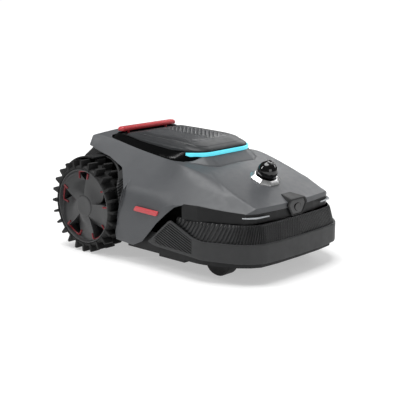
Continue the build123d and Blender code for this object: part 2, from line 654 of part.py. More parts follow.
def make_lid_insert():
    """Ribbed panel let into the lid's crown."""
    plan = both_sides([(px(-127.6), 57.6), (px(-90), 65.6), (px(19.6), 57.6)])
    crown = [(px(-180), lid_top(px(-180))), (px(19), lid_top(px(19))), (px(90), lid_top(px(90)))]
    low = [(x, z - INSERT_THICKNESS) for x, z in crown]
    band = prism_xz([(x, z - 0.3) for x, z in crown] + low[::-1], -90, 90)
    return prism_xy(plan, pz(240), pz(275)) & band


def make_lid_hinge_pin():
    hx, hz = hinge_axis()
    inner_end = hinge_post_ends(1, SEAT_GAP)[0] - HINGE_KNUCKLE_WIDTH
    return pair(rod_y(hx, hz, HINGE_PIN_RADIUS, inner_end, hinge_post_ends(1, 0.0)[1]))


def stop_bar_x():
    return px(LID_REAR_X) - 19.0


def make_stop_bar():
    x = stop_bar_x()
    z0 = pz(257)
    bar = block(x - STOP_BAR_DEPTH / 2, x + STOP_BAR_DEPTH / 2, -STOP_BAR_LENGTH / 2, STOP_BAR_LENGTH / 2,
                z0, z0 + STOP_BAR_HEIGHT)
    bar = fillet(bar.edges().filter_by(Axis.Z), 8)
    bar = fillet(bar.edges().group_by(Axis.Z)[-1], 4)
    for side in (-1, 1):
        bar += rod_z(x, side * 60, STOP_STEM_RADIUS, z0 - 18, z0 + 2)
    return bar


def button_places():
    names = ("power_button", "home_button", "start_button", "ok_button")
    for i, name in enumerate(names):
        yield name, px(-8), -42.0 + 28.0 * i


def make_control_panel():
    z0 = pz(BAY_FLOOR_Z)
    panel = block(px(-28), px(50), -66, 66, z0, z0 + 7)
    panel = chamfer(panel.edges().group_by(Axis.Z)[-1], 1.5)
    for _, x, y in button_places():
        panel -= rod_z(x, y, BUTTON_RADIUS + 2 * RUNNING_GAP, z0 + 1, z0 + 9)
    return panel - block(px(20) - SEAT_GAP, px(42) + SEAT_GAP, -32.3, 32.3, z0 + 5, z0 + 9)


def make_display_window():
    z0 = pz(BAY_FLOOR_Z) + 5
    return block(px(20), px(42), -32, 32, z0, z0 + 2)


def make_button(place):
    _, x, y = place
    z0 = pz(BAY_FLOOR_Z) + 1 + BUTTON_TRAVEL + SEAT_GAP
    button = rod_z(x, y, BUTTON_RADIUS, z0, z0 + 8)
    return fillet(button.edges().sort_by(Axis.Z)[-1], 1.5)


def make_apron_panel():
    panel = prism_xy(apron_outline(0.0), pz(190), pz(240))
    slope = [(px(60), pz(229)), (px(76), pz(226.5)), (px(104), pz(210.5))]
    low = [(x, z - 4) for x, z in slope]
    band = prism_xz(slope + low[::-1], -py(120), py(120))
    return (panel & band) - prism_xy(bay_outline(0.0), pz(150), pz(300))


def make_light_strip(bay):
    """Light guide that wraps the bay's front, between the lid's edge and the apron."""
    path = [(px(x), py(y)) for x, y in BAY_TOP_PLAN[3:]] + [(px(71) + 0.1, 0)]
    outer = inset(path, -STRIP_DEPTH)
    band = prism_xy(both_sides([(px(38), py(90))] + outer), pz(STRIP_LOW_Z), pz(STRIP_HIGH_Z))
    core = [(px(30), path[0][1])] + path
    return band - prism_xy(both_sides(core), pz(215), pz(245)) - bay


# ---------------------------------------------------------------- sensors
def make_lidar_bezel():
    """Faceted ring that lies on the hood around the dome."""
    outline = [(-30, 14), (-14, BEZEL_HALF), (14, BEZEL_HALF), (30, 14)]
    base = flat(both_sides(outline))
    top = flat(both_sides([(0.84 * x, 0.84 * y) for x, y in outline]))
    ring = loft([base, Pos(0, 0, BEZEL_HEIGHT) * top], ruled=True)
    ring -= Cylinder(DOME_RADIUS + SEAT_GAP, 60)
    return Pos(px(DOME_X), 0, DOME_HOOD_Z + 0.4) * Rot(0, HOOD_TILT, 0) * ring


def make_lidar_dome():
    """Dark spherical window on its stem, with a small ring cap."""
    dome = Pos(0, 0, DOME_LIFT) * Sphere(DOME_RADIUS)
    dome &= Pos(0, 0, 30) * Cylinder(DOME_RADIUS, 60)
    dome += Pos(0, 0, -6) * Cylinder(DOME_RADIUS, 16)
    dome += Pos(0, 0, DOME_LIFT + DOME_RADIUS - 1.5) * Cylinder(9, 4)
    return Pos(px(DOME_X), 0, DOME_HOOD_Z) * Rot(0, HOOD_TILT, 0) * dome


def camera_outline(scale):
    """Six-sided front of the camera housing, as (y, z) about its middle."""
    half = [(0.55 * CAMERA_HALF, -17.5), (CAMERA_HALF, 7), (0.76 * CAMERA_HALF, 19)]
    points = half + [(-y, z) for y, z in reversed(half)]
    return [(scale * y, scale * z) for y, z in points]


def camera_front():
    """Where the camera's front face stands: its x and the height of its middle."""
    return px(266), GRILLE_TOP + 19.0


def camera_volume(margin):
    """The housing's outer shape, or with a margin the notch that it fills."""
    front_x, middle_z = camera_front()
    face = camera_outline(1.0 + margin / 15.0)
    front = flat([(front_x, y, middle_z + z) for y, z in face])
    back = flat([(front_x - CAMERA_DEPTH - margin, 0.64 * y, middle_z + 13 + 0.6 * z) for y, z in face])
    return loft([front, back], ruled=True)


def camera_notch():
    front_x, middle_z = camera_front()
    face = flat([(front_x - 0.01, y, middle_z + z) for y, z in camera_outline(1.0 + SEAT_GAP / 15.0)])
    return camera_volume(SEAT_GAP) + extrude(face, 15, dir=(1, 0, 0))


def make_camera_housing():
    front_x, middle_z = camera_front()
    pocket = flat([(front_x + 1, y, middle_z + z) for y, z in camera_outline(0.8)])
    return camera_volume(0.0) - extrude(pocket, 5, dir=(-1, 0, 0))


def make_camera_face():
    front_x, middle_z = camera_front()
    face = flat([(front_x - 4, y, middle_z + z) for y, z in camera_outline(0.78)])
    plate = extrude(face, 3, dir=(1, 0, 0))
    lens_hole = Pos(front_x, 0, middle_z) * Rot(0, 90, 0) * Cylinder(CAMERA_LENS_RADIUS, 20)
    return plate - lens_hole


def make_camera_lens():
    front_x, middle_z = camera_front()
    lens = Pos(front_x - 1.8, 0, middle_z) * Rot(0, 90, 0) * Cylinder(CAMERA_LENS_RADIUS - 0.1, 4.4)
    return fillet(lens.edges().sort_by(Axis.X)[-1], 1.5)


# ---------------------------------------------------------------- nose and bumper
def bumper_half(distance):
    return inset([(px(x), py(y)) for x, y in BUMPER_PLAN], distance)


def wall_loft(low_set, high_set, low_z, high_z, wall, start):
    """A leaning wall that follows the bumper's plan from station start to the nose."""
    def ring(distance, z):
        return flat([(x, y, z) for x, y in both_sides(bumper_half(distance)[start:])])
    solid = loft([ring(low_set, low_z), ring(high_set, high_z)], ruled=True)
    hollow = loft([ring(low_set + wall, low_z - 1), ring(high_set + wall, high_z + 1)], ruled=True)
    return solid, hollow


def make_bumper_shell():
    outer = prism_xy(both_sides(bumper_half(0.0)), BUMPER_BOTTOM, 118)
    core = [(px(-40), bumper_half(BUMPER_WALL)[0][1])] + bumper_half(BUMPER_WALL)[1:]
    band = outer - prism_xy(both_sides(core), 0, 200)
    side = [
        (px(23), 61), (px(84), 115.5), (px(147), 89), (px(171), BUMPER_TOP), (NOSE_X + 5, BUMPER_TOP),
        (NOSE_X + 5, BUMPER_BOTTOM), (px(171), 46), (px(150), 48.6), (px(38), 52.6),
    ]
    return band & prism_xz(side, -py(300), py(300))


def make_bumper_grille():
    solid, hollow = wall_loft(BUMPER_WALL + 0.1, GRILLE_SETBACK + BUMPER_WALL, 80.0, GRILLE_TOP, 3.5, 0)
    band = solid - hollow
    keep = [(px(92), 80), (px(92), GRILLE_TOP), (NOSE_X, GRILLE_TOP), (NOSE_X, 80)]
    return band & prism_xz(keep, -py(300), py(300))


def lip_outline():
    return inset([(px(x), py(y)) for x, y in [(112, 187), (150, 181), (205, 157)] + HOOD_NOSE], 2.0)


def make_hood_lip():
    """Black lip between the hood's lower edge and the grille."""
    low = GRILLE_TOP + 0.5
    plan = lip_outline()
    core = inset(plan, 4.0)
    core = [(core[0][0] - 20, core[0][1])] + core
    lip = prism_xy(both_sides(plan), low, pz(156)) - prism_xy(both_sides(core), low - 1, pz(170))
    return (lip & below_edge()) - camera_notch()


def make_corner_lens(lip):
    plan = [(px(x), py(y)) for x, y in [(241, 140), (254, 131), (262, 124), (270, 80)]]
    rear, corner, front = lip_outline()[3:6]
    share = (corner[1] - py(80)) / (corner[1] - front[1])
    end = (corner[0] + share * (front[0] - corner[0]), py(80))
    return prism_xy(plan + [end, corner, rear], pz(131), pz(138)) - lip


def guide_rod(side, radius, rear_x, front_x):
    """A rod along X that the bumper slides on, through the chassis nose."""
    y = side * BUMPER_GUIDE_Y
    return Pos((rear_x + front_x) / 2, y, BUMPER_GUIDE_Z) * Rot(0, 90, 0) * Cylinder(radius, front_x - rear_x)


def make_bumper_guides(bumper):
    nose = NOSE_X - BUMPER_WALL
    return pair(guide_rod(1, BUMPER_GUIDE_RADIUS, nose - BUMPER_GUIDE_LENGTH, nose + 1) - bumper)


# ---------------------------------------------------------------- build and write
def build():
    outer = shell_volume(0.0)
    inner = shell_volume(SHELL_WALL)
    upper_shell = make_upper_shell(outer, inner)
    control_bay = make_control_bay()
    hood_lip = make_hood_lip()
    bumper = make_bumper_shell()
    liner = make_wheel_arch_liner(inner, upper_shell)
    left = {
        "wheel_arch_liner": liner,
        "tyre": make_tyre(),
        "wheel_hub": make_wheel_hub(),
        "hub_cap": make_hub_cap(),
        "wheel_axle": make_wheel_axle(),
        "drive_motor": make_drive_motor(),
        "caster_fork": make_caster_fork(),
        "caster_axle": make_caster_axle(),
        "caster_wheel": make_caster_wheel(),
    }
    badge = block(px(-18), px(53), BODY_WIDTH / 2, BODY_WIDTH / 2 + 2.5, 118.5, 127.5)
    nodes = {
        "chassis_tub": make_chassis_tub(),
        "rear_housing": make_rear_housing(),
        "upper_shell": upper_shell,
        "side_louvres": pair(make_side_louvre(inner, liner)),
        "side_badges": pair(fillet(badge.edges().filter_by(Axis.Y), 3)),
        "control_bay": control_bay,
        "apron_panel": make_apron_panel(),
        "light_strip": make_light_strip(control_bay),
        "lid_shell": make_lid_shell(),
        "lid_insert": make_lid_insert(),
        "lid_hinge_pin": make_lid_hinge_pin(),
        "control_panel": make_control_panel(),
        "display_window": make_display_window(),
        "height_knob": make_height_knob(),
        "lift_screw": make_lift_screw(),
        "stop_bar": make_stop_bar(),
        "lidar_bezel": make_lidar_bezel(),
        "lidar_dome": make_lidar_dome(),
        "camera_housing": make_camera_housing(),
        "camera_face": make_camera_face(),
        "camera_lens": make_camera_lens(),
        "hood_lip": hood_lip,
        "corner_lenses": pair(make_corner_lens(hood_lip)),
        "bumper_shell": bumper,
        "bumper_grille": make_bumper_grille(),
        "bumper_guides": make_bumper_guides(bumper),
        "battery_pack": make_battery_pack(),
        "battery_cover": battery_hatch(0.0),
        "main_board": make_main_board(),
        "charging_contacts": make_charging_contacts(),
        "cutting_deck": make_cutting_deck(),
        "cutting_motor": make_cutting_motor(),
        "deck_guides": make_deck_guides(),
        "blade_disc": make_blade_disc(),
        "blade_screws": make_blade_screws(),
    }
    for name, shape in left.items():
        nodes[name + "_left"] = shape
        nodes[name + "_right"] = mirrored(shape)
    for place in button_places():
        nodes[place[0]] = make_button(place)
    for letter, place in zip("abc", pivot_places()):
        nodes["blade_" + letter] = make_blade(place)
    return nodes


os.makedirs("parts", exist_ok=True)
for node, shape in build().items():
    export_step(Compound(children=list(shape.solids())), f"parts/{node}.step")
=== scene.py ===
# %% [markdown]
# # A robotic lawn mower, dressed round its CAD frame
# The CAD model already holds every size, pivot and wall. Here the pieces that show are given the
# surfaces of the real machine: a satin painted shell, a gloss black lid bay, a glowing light guide,
# ribbed trims and lugged tyres. Each surface is a formula worked out with numpy over a whole grid.

import bmesh
import bpy
import numpy as np
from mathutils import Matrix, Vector


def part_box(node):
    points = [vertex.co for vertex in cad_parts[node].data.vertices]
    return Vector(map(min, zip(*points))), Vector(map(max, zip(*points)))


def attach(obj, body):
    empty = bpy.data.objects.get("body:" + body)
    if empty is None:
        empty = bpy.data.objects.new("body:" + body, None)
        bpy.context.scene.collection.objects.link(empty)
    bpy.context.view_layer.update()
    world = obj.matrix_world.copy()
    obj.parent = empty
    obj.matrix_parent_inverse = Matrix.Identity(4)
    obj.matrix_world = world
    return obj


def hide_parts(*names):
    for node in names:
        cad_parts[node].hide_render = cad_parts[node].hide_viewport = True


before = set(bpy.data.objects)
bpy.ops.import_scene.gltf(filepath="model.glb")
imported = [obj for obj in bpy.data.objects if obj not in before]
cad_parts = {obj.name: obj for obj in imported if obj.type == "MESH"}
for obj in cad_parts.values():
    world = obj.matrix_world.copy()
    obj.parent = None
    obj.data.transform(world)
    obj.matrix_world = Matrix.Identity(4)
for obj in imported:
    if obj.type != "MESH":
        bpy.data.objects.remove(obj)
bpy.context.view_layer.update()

# %% [markdown]
# ## Grids and meshes
# Every shape below is a grid of points: one way round the shape, the other way along it. Joining
# each point to its neighbours gives the faces. Lengths are in millimetres until a mesh is made.

# %% Helpers that turn arrays into meshes
MM = 0.001


def grid_faces(rows, cols, close_rows=False, close_cols=False):
    """Quads of a rows by cols grid: each joins point (i, j) to the next one both ways."""
    i = np.arange(rows if close_rows else rows - 1)[:, None]
    j = np.arange(cols if close_cols else cols - 1)[None, :]
    down, right = (i + 1) % rows, (j + 1) % cols
    quads = np.broadcast_arrays(i * cols + j, down * cols + j, down * cols + right,
                                i * cols + right)
    return np.stack(quads, -1).reshape(-1, 4).tolist()


def solid_from(grid, close_rows=False):
    """Points and faces of one skin whose rows are closed rings. Where the rows don't join up with
    each other, the first and the last one get a cap."""
    rows, cols = grid.shape[:2]
    faces = grid_faces(rows, cols, close_rows, True)
    if not close_rows:
        faces += [list(range(cols)), list(range((rows - 1) * cols, rows * cols))]
    return grid.reshape(-1, 3), faces


def closed_strip(grid):
    """A grid whose last row joins the first one, with a cap on each of its two open sides."""
    rows, cols = grid.shape[:2]
    first = np.arange(rows) * cols
    faces = grid_faces(rows, cols, True) + [first.tolist(), (first + cols - 1).tolist()]
    return grid.reshape(-1, 3), faces


def joined(*parts):
    """Several (points, faces) sets as one."""
    counts = np.cumsum([0] + [len(points) for points, _ in parts])
    faces = [[v + int(c) for v in f] for (_, fs), c in zip(parts, counts) for f in fs]
    return np.vstack([points for points, _ in parts]), faces


def mirrored(part):
    """The same skin on the other side: y changes sign and each face runs the other way."""
    points, faces = part
    return points * [1, -1, 1], [f[::-1] for f in faces]


def both(part):
    """A skin together with its mirror image."""
    return joined(part, mirrored(part))


# %% [markdown]
# Outlines and paths are given by a few corners. A corner is rounded by a simple rule: each point
# becomes the mean of the path over a short window centred on it, so straight runs stay put.

# %% Helpers for outlines and paths
TAPS = np.linspace(-1, 1, 9)


def lengths(path):
    """Length along a path up to each of its points."""
    return np.concatenate([[0], np.cumsum(np.linalg.norm(np.diff(path, axis=0), axis=1))])


def at(path, s):
    """Points of a path at lengths s, by linear interpolation between its corners."""
    path = np.asarray(path, float)
    along = lengths(path)
    return np.stack([np.interp(s, along, path[:, k]) for k in range(path.shape[1])], -1)


def open_path(corners, count, window=0.0):
    """Evenly spaced points; each is the mean over a window that shrinks towards the ends."""
    corners = np.asarray(corners, float)
    total = lengths(corners)[-1]
    s = np.linspace(0, total, count)
    reach = np.minimum(window / 2, np.minimum(s, total - s))
    return at(corners, s[:, None] + TAPS * reach[:, None]).mean(1)


def loop(corners, count, window=0.0):
    """A closed outline at even steps, each point the mean of the outline over the window."""
    ring = np.asarray(list(corners) + [corners[0]], float)
    total = lengths(ring)[-1]
    s = np.arange(count) * total / count
    return at(ring, (s[:, None] + TAPS * window / 2) % total).mean(1)


def two_sided(half):
    """A closed outline from its half with y > 0, listed from the back to the front. A half may
    hold several outlines side by side, as columns x, y, x, y, whose corners then stay paired."""
    half = np.asarray(half, float)
    other = half[::-1] * np.tile([1, -1], half.shape[1] // 2)
    return np.vstack([half, other[half[::-1, 1] > 0]])


def sideways(path, closed=True):
    """Unit vectors at right angles to a flat path, to its left."""
    if closed:
        run = np.roll(path, -1, 0) - np.roll(path, 1, 0)
    else:
        run = np.gradient(path, axis=0)
    run = run / np.linalg.norm(run, axis=1, keepdims=True)
    return np.stack([-run[:, 1], run[:, 0]], 1)


def outwards(path):
    """Unit vectors that point away from the body, for an open path that passes round the front."""
    out = -sideways(path, closed=False)
    return out if np.sum(out[:, 0]) > 0 else -out


def raised(flat, z):
    """Plan points given a height each."""
    return np.concatenate([flat, np.broadcast_to(z, flat.shape[:-1])[..., None]], -1)


def pushed(path, depth):
    """Each point of a flat path moved outwards by every depth of its row."""
    return path[:, None] + outwards(path)[:, None] * depth[..., None]


def pad(outline, profile):
    """Rows of the outline, each moved inwards by the first number of a profile step and raised to
    the second. An outline that turns to the left has its inside on the left."""
    left = sideways(outline)
    x, y = outline[:, 0], outline[:, 1]
    turn = np.sign(np.sum(x * np.roll(y, -1) - np.roll(x, -1) * y))
    steps = np.asarray(profile, float)
    flat = outline[None] + turn * steps[:, None, None, 0] * left[None]
    return raised(flat, steps[:, None, 1])


def inset(outline, distance):
    """The outline moved inwards by a distance, as plan points."""
    return pad(outline, [(distance, 0)])[0, :, :2]


# %% A soft step
def smooth(value, low, high):
    """0 below low, 1 above high, and 3t^2 - 2t^3 between them."""
    t = np.clip((value - low) / (high - low), 0, 1)
    return t * t * (3 - 2 * t)


# %% [markdown]
# ## Finishes
# Moulded plastic is never one flat colour. Each finish mixes two near tones with a broad noise,
# breaks up its gloss with a second one and has a fine grain as bump, in the object's own space so
# that the pattern stays on the piece when it moves. Numbers that don't vary sit on the sockets.

# %% The finish builder
def wire(tree, source, target):
    """Joins an output to an input."""
    tree.links.new(source, target)


def noise(tree, coords, size_mm, detail=3.0, stretch=(1, 1, 1)):
    """A noise whose features are about size_mm across."""
    place = tree.nodes.new("ShaderNodeMapping")
    place.inputs["Scale"].default_value = stretch
    wire(tree, coords, place.inputs["Vector"])
    node = tree.nodes.new("ShaderNodeTexNoise")
    node.inputs["Scale"].default_value = 1000.0 / size_mm
    node.inputs["Detail"].default_value = detail
    wire(tree, place.outputs["Vector"], node.inputs["Vector"])
    return node.outputs["Fac"]


def spread(tree, value, low, high):
    """Stretches a noise's middle range onto low to high."""
    node = tree.nodes.new("ShaderNodeMapRange")
    node.inputs["From Min"].default_value = 0.3
    node.inputs["From Max"].default_value = 0.7
    node.inputs["To Min"].default_value = low
    node.inputs["To Max"].default_value = high
    wire(tree, value, node.inputs["Value"])
    return node.outputs["Result"]


BUMP_STRENGTH = 0.35


def make_finish(name, tone, second, rough, grain_mm, grain, patch_mm=40.0, stretch=(1, 1, 1),
                metal=0.0, coat=0.0, coat_rough=0.1, spec=0.5, glow=None):
    """Two tones mixed by a broad noise, a gloss that varies by a tenth either way and a fine
    raised grain. Sizes are in millimetres; glow is a colour and a strength."""
    material = bpy.data.materials.new(name)
    material.use_nodes = True
    tree = material.node_tree
    shader = tree.nodes["Principled BSDF"]
    coords = tree.nodes.new("ShaderNodeTexCoord").outputs["Object"]
    mix = tree.nodes.new("ShaderNodeMix")
    mix.data_type = "RGBA"
    mix.inputs["A"].default_value = (*tone, 1)
    mix.inputs["B"].default_value = (*second, 1)
    wire(tree, spread(tree, noise(tree, coords, patch_mm), 0, 1), mix.inputs["Factor"])
    wire(tree, mix.outputs["Result"], shader.inputs["Base Color"])
    gloss = noise(tree, coords, patch_mm * 0.3, stretch=stretch)
    wire(tree, spread(tree, gloss, rough * 0.9, rough * 1.1), shader.inputs["Roughness"])
    bump = tree.nodes.new("ShaderNodeBump")
    bump.inputs["Strength"].default_value = BUMP_STRENGTH
    bump.inputs["Distance"].default_value = grain * MM
    wire(tree, noise(tree, coords, grain_mm, 2.0, stretch), bump.inputs["Height"])
    wire(tree, bump.outputs["Normal"], shader.inputs["Normal"])
    shader.inputs["Metallic"].default_value = metal
    shader.inputs["Coat Weight"].default_value = coat
    shader.inputs["Coat Roughness"].default_value = coat_rough
    shader.inputs["Specular IOR Level"].default_value = spec
    if glow:
        shader.inputs["Emission Color"].default_value = (*glow[0], 1)
        shader.inputs["Emission Strength"].default_value = glow[1]
    return material


def grey(level, blue=0.0):
    """A grey of one level, cooled a little by blue."""
    return (level, level * (1 + 0.4 * blue), level * (1 + blue))


# %% The mower's finishes
# two tones, roughness, size and height of the grain, then whatever differs from plain plastic
FINISH_TABLE = {
    "shell_paint": (grey(0.074, 0.13), grey(0.080, 0.11), 0.43, 0.35, 0.02, dict(spec=0.36)),
    "black_plastic": (grey(0.009, 0.1), grey(0.012, 0.08), 0.5, 0.6, 0.05, dict(spec=0.25)),
    "bumper_plastic": (grey(0.030, 0.06), grey(0.035, 0.05), 0.5, 0.6, 0.05, dict(spec=0.35)),
    "grille_plastic": (grey(0.012, 0.1), grey(0.015, 0.08), 0.36, 0.6, 0.03, {}),
    "gloss_black": (grey(0.003, 0.1), grey(0.004, 0.1), 0.15, 1.2, 0.003, dict(spec=0.06)),
    "lid_gloss": (grey(0.019, 0.2), grey(0.022, 0.18), 0.42, 0.4, 0.01, dict(spec=0.28)),
    "lid_ribbed": (grey(0.030, 0.18), grey(0.034, 0.16), 0.42, 0.4, 0.02, dict(spec=0.4)),
    "wheel_plastic": (grey(0.030, 0.06), grey(0.036, 0.05), 0.4, 0.5, 0.03, {}),
    "tyre": (grey(0.008, 0.05), grey(0.013, 0.02), 0.62, 0.8, 0.12, dict(patch_mm=25, spec=0.3)),
    "caster_rubber": (grey(0.012), grey(0.018), 0.7, 0.8, 0.1, dict(spec=0.3)),
    "red_plastic": ((0.60, 0.05, 0.06), (0.54, 0.04, 0.05), 0.34, 0.5, 0.01,
                    dict(coat=0.2, coat_rough=0.2)),
    "wheel_red": ((0.22, 0.012, 0.02), (0.18, 0.01, 0.016), 0.45, 0.5, 0.01, {}),
    "strip_light": ((0.08, 0.5, 0.6), (0.1, 0.55, 0.65), 0.3, 1.0, 0.01,
                    dict(glow=((0.11, 0.66, 0.80), 0.75))),
    "clear_lens": ((0.4, 0.42, 0.44), (0.46, 0.48, 0.5), 0.08, 1.0, 0.005, {}),
    "dome_black": (grey(0.002), grey(0.003), 0.09, 2.0, 0.002, dict(spec=0.6)),
    "bezel_silver": (grey(0.8), grey(0.86), 0.3, 0.3, 0.01,
                     dict(patch_mm=30, stretch=(1, 12, 12), metal=1)),
    "steel": (grey(0.5), grey(0.56), 0.3, 0.3, 0.02,
              dict(patch_mm=20, stretch=(1, 14, 1), metal=1)),
    "contact_metal": ((0.8, 0.62, 0.33), (0.7, 0.5, 0.25), 0.28, 0.4, 0.01,
                      dict(patch_mm=8, metal=1)),
    "circuit_board": ((0.01, 0.12, 0.05), (0.02, 0.2, 0.08), 0.4, 1.5, 0.05, dict(patch_mm=6)),
    "button_grey": (grey(0.26), grey(0.3), 0.45, 0.4, 0.02, dict(patch_mm=12)),
    "motor_metal": (grey(0.4), grey(0.46), 0.42, 0.6, 0.05, dict(patch_mm=15, metal=1)),
}
FINISHES = {name: make_finish(name, *numbers, **more)
            for name, (*numbers, more) in FINISH_TABLE.items()}
print("finishes:", ", ".join(sorted(FINISHES)))


# %% Helpers that put things into the scene
def put(name, data):
    """A new object at the origin, in the scene's collection."""
    thing = bpy.data.objects.new(name, data)
    bpy.context.scene.collection.objects.link(thing)
    return thing


def make_piece(name, part, body, slot, stands_for=(), sharp_deg=32.0, finish=None):
    """Fills a mesh, turns every closed skin outwards, keeps edges sharper than sharp_deg crisp and
    lets the piece ride on its body. finish names a finish that isn't the slot's own."""
    points, faces = part
    mesh = bpy.data.meshes.new(name)
    mesh.from_pydata((np.asarray(points) * MM).tolist(), [], faces)
    work = bmesh.new()
    work.from_mesh(mesh)
    bmesh.ops.remove_doubles(work, verts=work.verts, dist=1e-6)
    bmesh.ops.recalc_face_normals(work, faces=work.faces)
    work.to_mesh(mesh)
    work.free()
    mesh.polygons.foreach_set("use_smooth", np.ones(len(mesh.polygons), bool))
    mesh.set_sharp_from_angle(angle=np.radians(sharp_deg))
    mesh.materials.append(FINISHES[finish or slot])
    piece = put(name, mesh)
    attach(piece, body)
    if stands_for:
        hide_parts(*stands_for)
    print(f"{name}: {len(mesh.polygons)} faces on {body}")


# %% [markdown]
# ## The painted shell
# The shell is one moulding: an almost flat top, a fold (the crease), a broad sloping facet, a soft
# shoulder and an upright side, cut away for the wheels and the bumper. It is built as a ring of
# ribs that run from the bay's edge outwards to the shell's lower edge. Both ends of each rib are
# listed; everything between follows the section of the body at that place.

# %% The body's section, station by station
STATION_X = np.array([-223, -177, -97, -47, 8, 63, 103, 143, 183, 208, 243, 269], float)
CROWN_Z = [261, 259, 247, 238, 229, 222, 212, 201, 186, 176, 161, 151]
CREASE_Y = [126, 115, 112, 112, 114, 129, 131, 129, 125, 122, 118, 116]
CREASE_Z = [254, 247, 233, 226, 219, 216, 206, 194, 181, 171, 156, 149]
SHOULDER_Y = [150, 190, 189, 190, 190, 191, 190, 183, 169, 156, 139, 124]
SHOULDER_Z = [200, 175, 160, 157, 156, 153, 150, 147, 145, 143, 141, 140]
SHOULDER_DROP = 22.0         # from the shoulder down to where the side stands upright
SIDE_Y = 195.0


def running_mean(values, reach):
    """Each number becomes the mean of those up to reach places away; the ends are repeated."""
    width = 2 * reach + 1
    return np.convolve(np.pad(values, reach, "edge"), np.ones(width) / width, "valid")


def rail(values):
    """A station table as a smooth function of x: the mean of the straight lines over 36 mm."""
    table_x = np.arange(-260.0, 310.0)
    table = running_mean(np.interp(table_x, STATION_X, values), 18)
    return lambda x: np.interp(x, table_x, table)


crown_z, crease_y, crease_z, shoulder_y, shoulder_z = map(
    rail, (CROWN_Z, CREASE_Y, CREASE_Z, SHOULDER_Y, SHOULDER_Z))


def top_z(x, y):
    """Height of the top: from the crown down to the crease with the 1.5th power of the distance
    from the middle, then down the sloping facet."""
    share = np.abs(y) / crease_y(x)
    inner = crown_z(x) + (crease_z(x) - crown_z(x)) * np.minimum(share, 1) ** 1.5
    slope = (crease_z(x) - shoulder_z(x)) / (shoulder_y(x) - crease_y(x))
    return inner - slope * np.maximum(np.abs(y) - crease_y(x), 0)


def side_y(x, z):
    """Half width at a height below the crease: straight from the crease to the shoulder, straight
    on to the upright side, then constant."""
    cy, cz, sy, sz = crease_y(x), crease_z(x), shoulder_y(x), shoulder_z(x)
    facet = cy + (sy - cy) * (cz - z) / (cz - sz)
    full = np.minimum(sy + 5.0, SIDE_Y)
    below = sy + (full - sy) * np.minimum((sz - z) / SHOULDER_DROP, 1)
    return np.where(z > sz, facet, below)


# %% [markdown]
# Each row of the table below is one rib of the left half: where it starts on the bay's edge (x, y),
# where it crosses the crease (x, y), where it crosses the shoulder (x, z) and where it ends on the
# shell's lower edge (x, z). At the nose and the tail the last two are plan positions instead.

# %% The ribs of the shell
# bay x, bay y, crease x, crease y or 0 for the crease's own, shoulder x, z, edge x, z
SIDE_RIBS = np.array([
    (-165, 110.3, -195, 0, -208, 228.5, -209, 226.6),
    (-130, 110.3, -145, 0, -147, 216, -147, 213),
    (-90, 110.3, -98, 0, -99.4, 199, -99, 196),
    (-66, 110.3, -70, 0, -76, 179, -75.5, 175.3),
    (-57, 110.3, -60, 0, -55, 160.5, -54.5, 157.5),
    (-53, 110.3, -56, 0, -55, 157.5, -55.5, 148),
    (-50, 110.3, -51, 0, -55, 157, -60, 124),
    (-44, 110.3, -44, 0, -52, 156.5, -69, 94),
    (-38, 110.3, -35, 0, -46, 156.5, -78, 60),
    (-33, 110.3, -28, 0, -40, 156.5, -75, 46),
    (-12, 110.3, -4, 0, -8, 156, -22, 43),
    (-2, 110.3, 14, 0, 14, 156, 6, 56),
    (10, 110.3, 32, 0, 38, 154.5, 26, 77),
    (20, 110.3, 46, 0, 56, 153.5, 49, 102),
    (30, 108, 62, 0, 74, 152, 79, 128),
    (42, 104, 80, 0, 92, 151, 98, 144),
    (52, 101, 98, 0, 116, 156.5, 120, 152.5),
    (63, 97.2, 124, 0, 150, 156, 153, 152),
    (75, 89.5, 160, 0, 206, 149.5, 208, 146),
    (86, 82.5, 200, 0, 241, 146.5, 243, 143),
])
NOSE_PLAN = [(243, 137), (256, 116), (263, 62), (267, 0)]
APRON_FRONT = [(86, 82.5), (90.3, 80.2), (104.3, 58), (104.3, 0)]
NOSE_EDGE_Z = 142.5
TAIL_X, TAIL_EDGE_Z = -223.0, 229.3
BAY_REAR = [(-189.3, 0), (-189.3, 100), (-177.3, 110.3), (-165, 110.3)]
RIBS_ACROSS = 56
S_CREASE, S_SHOULDER = 0.42, 0.82


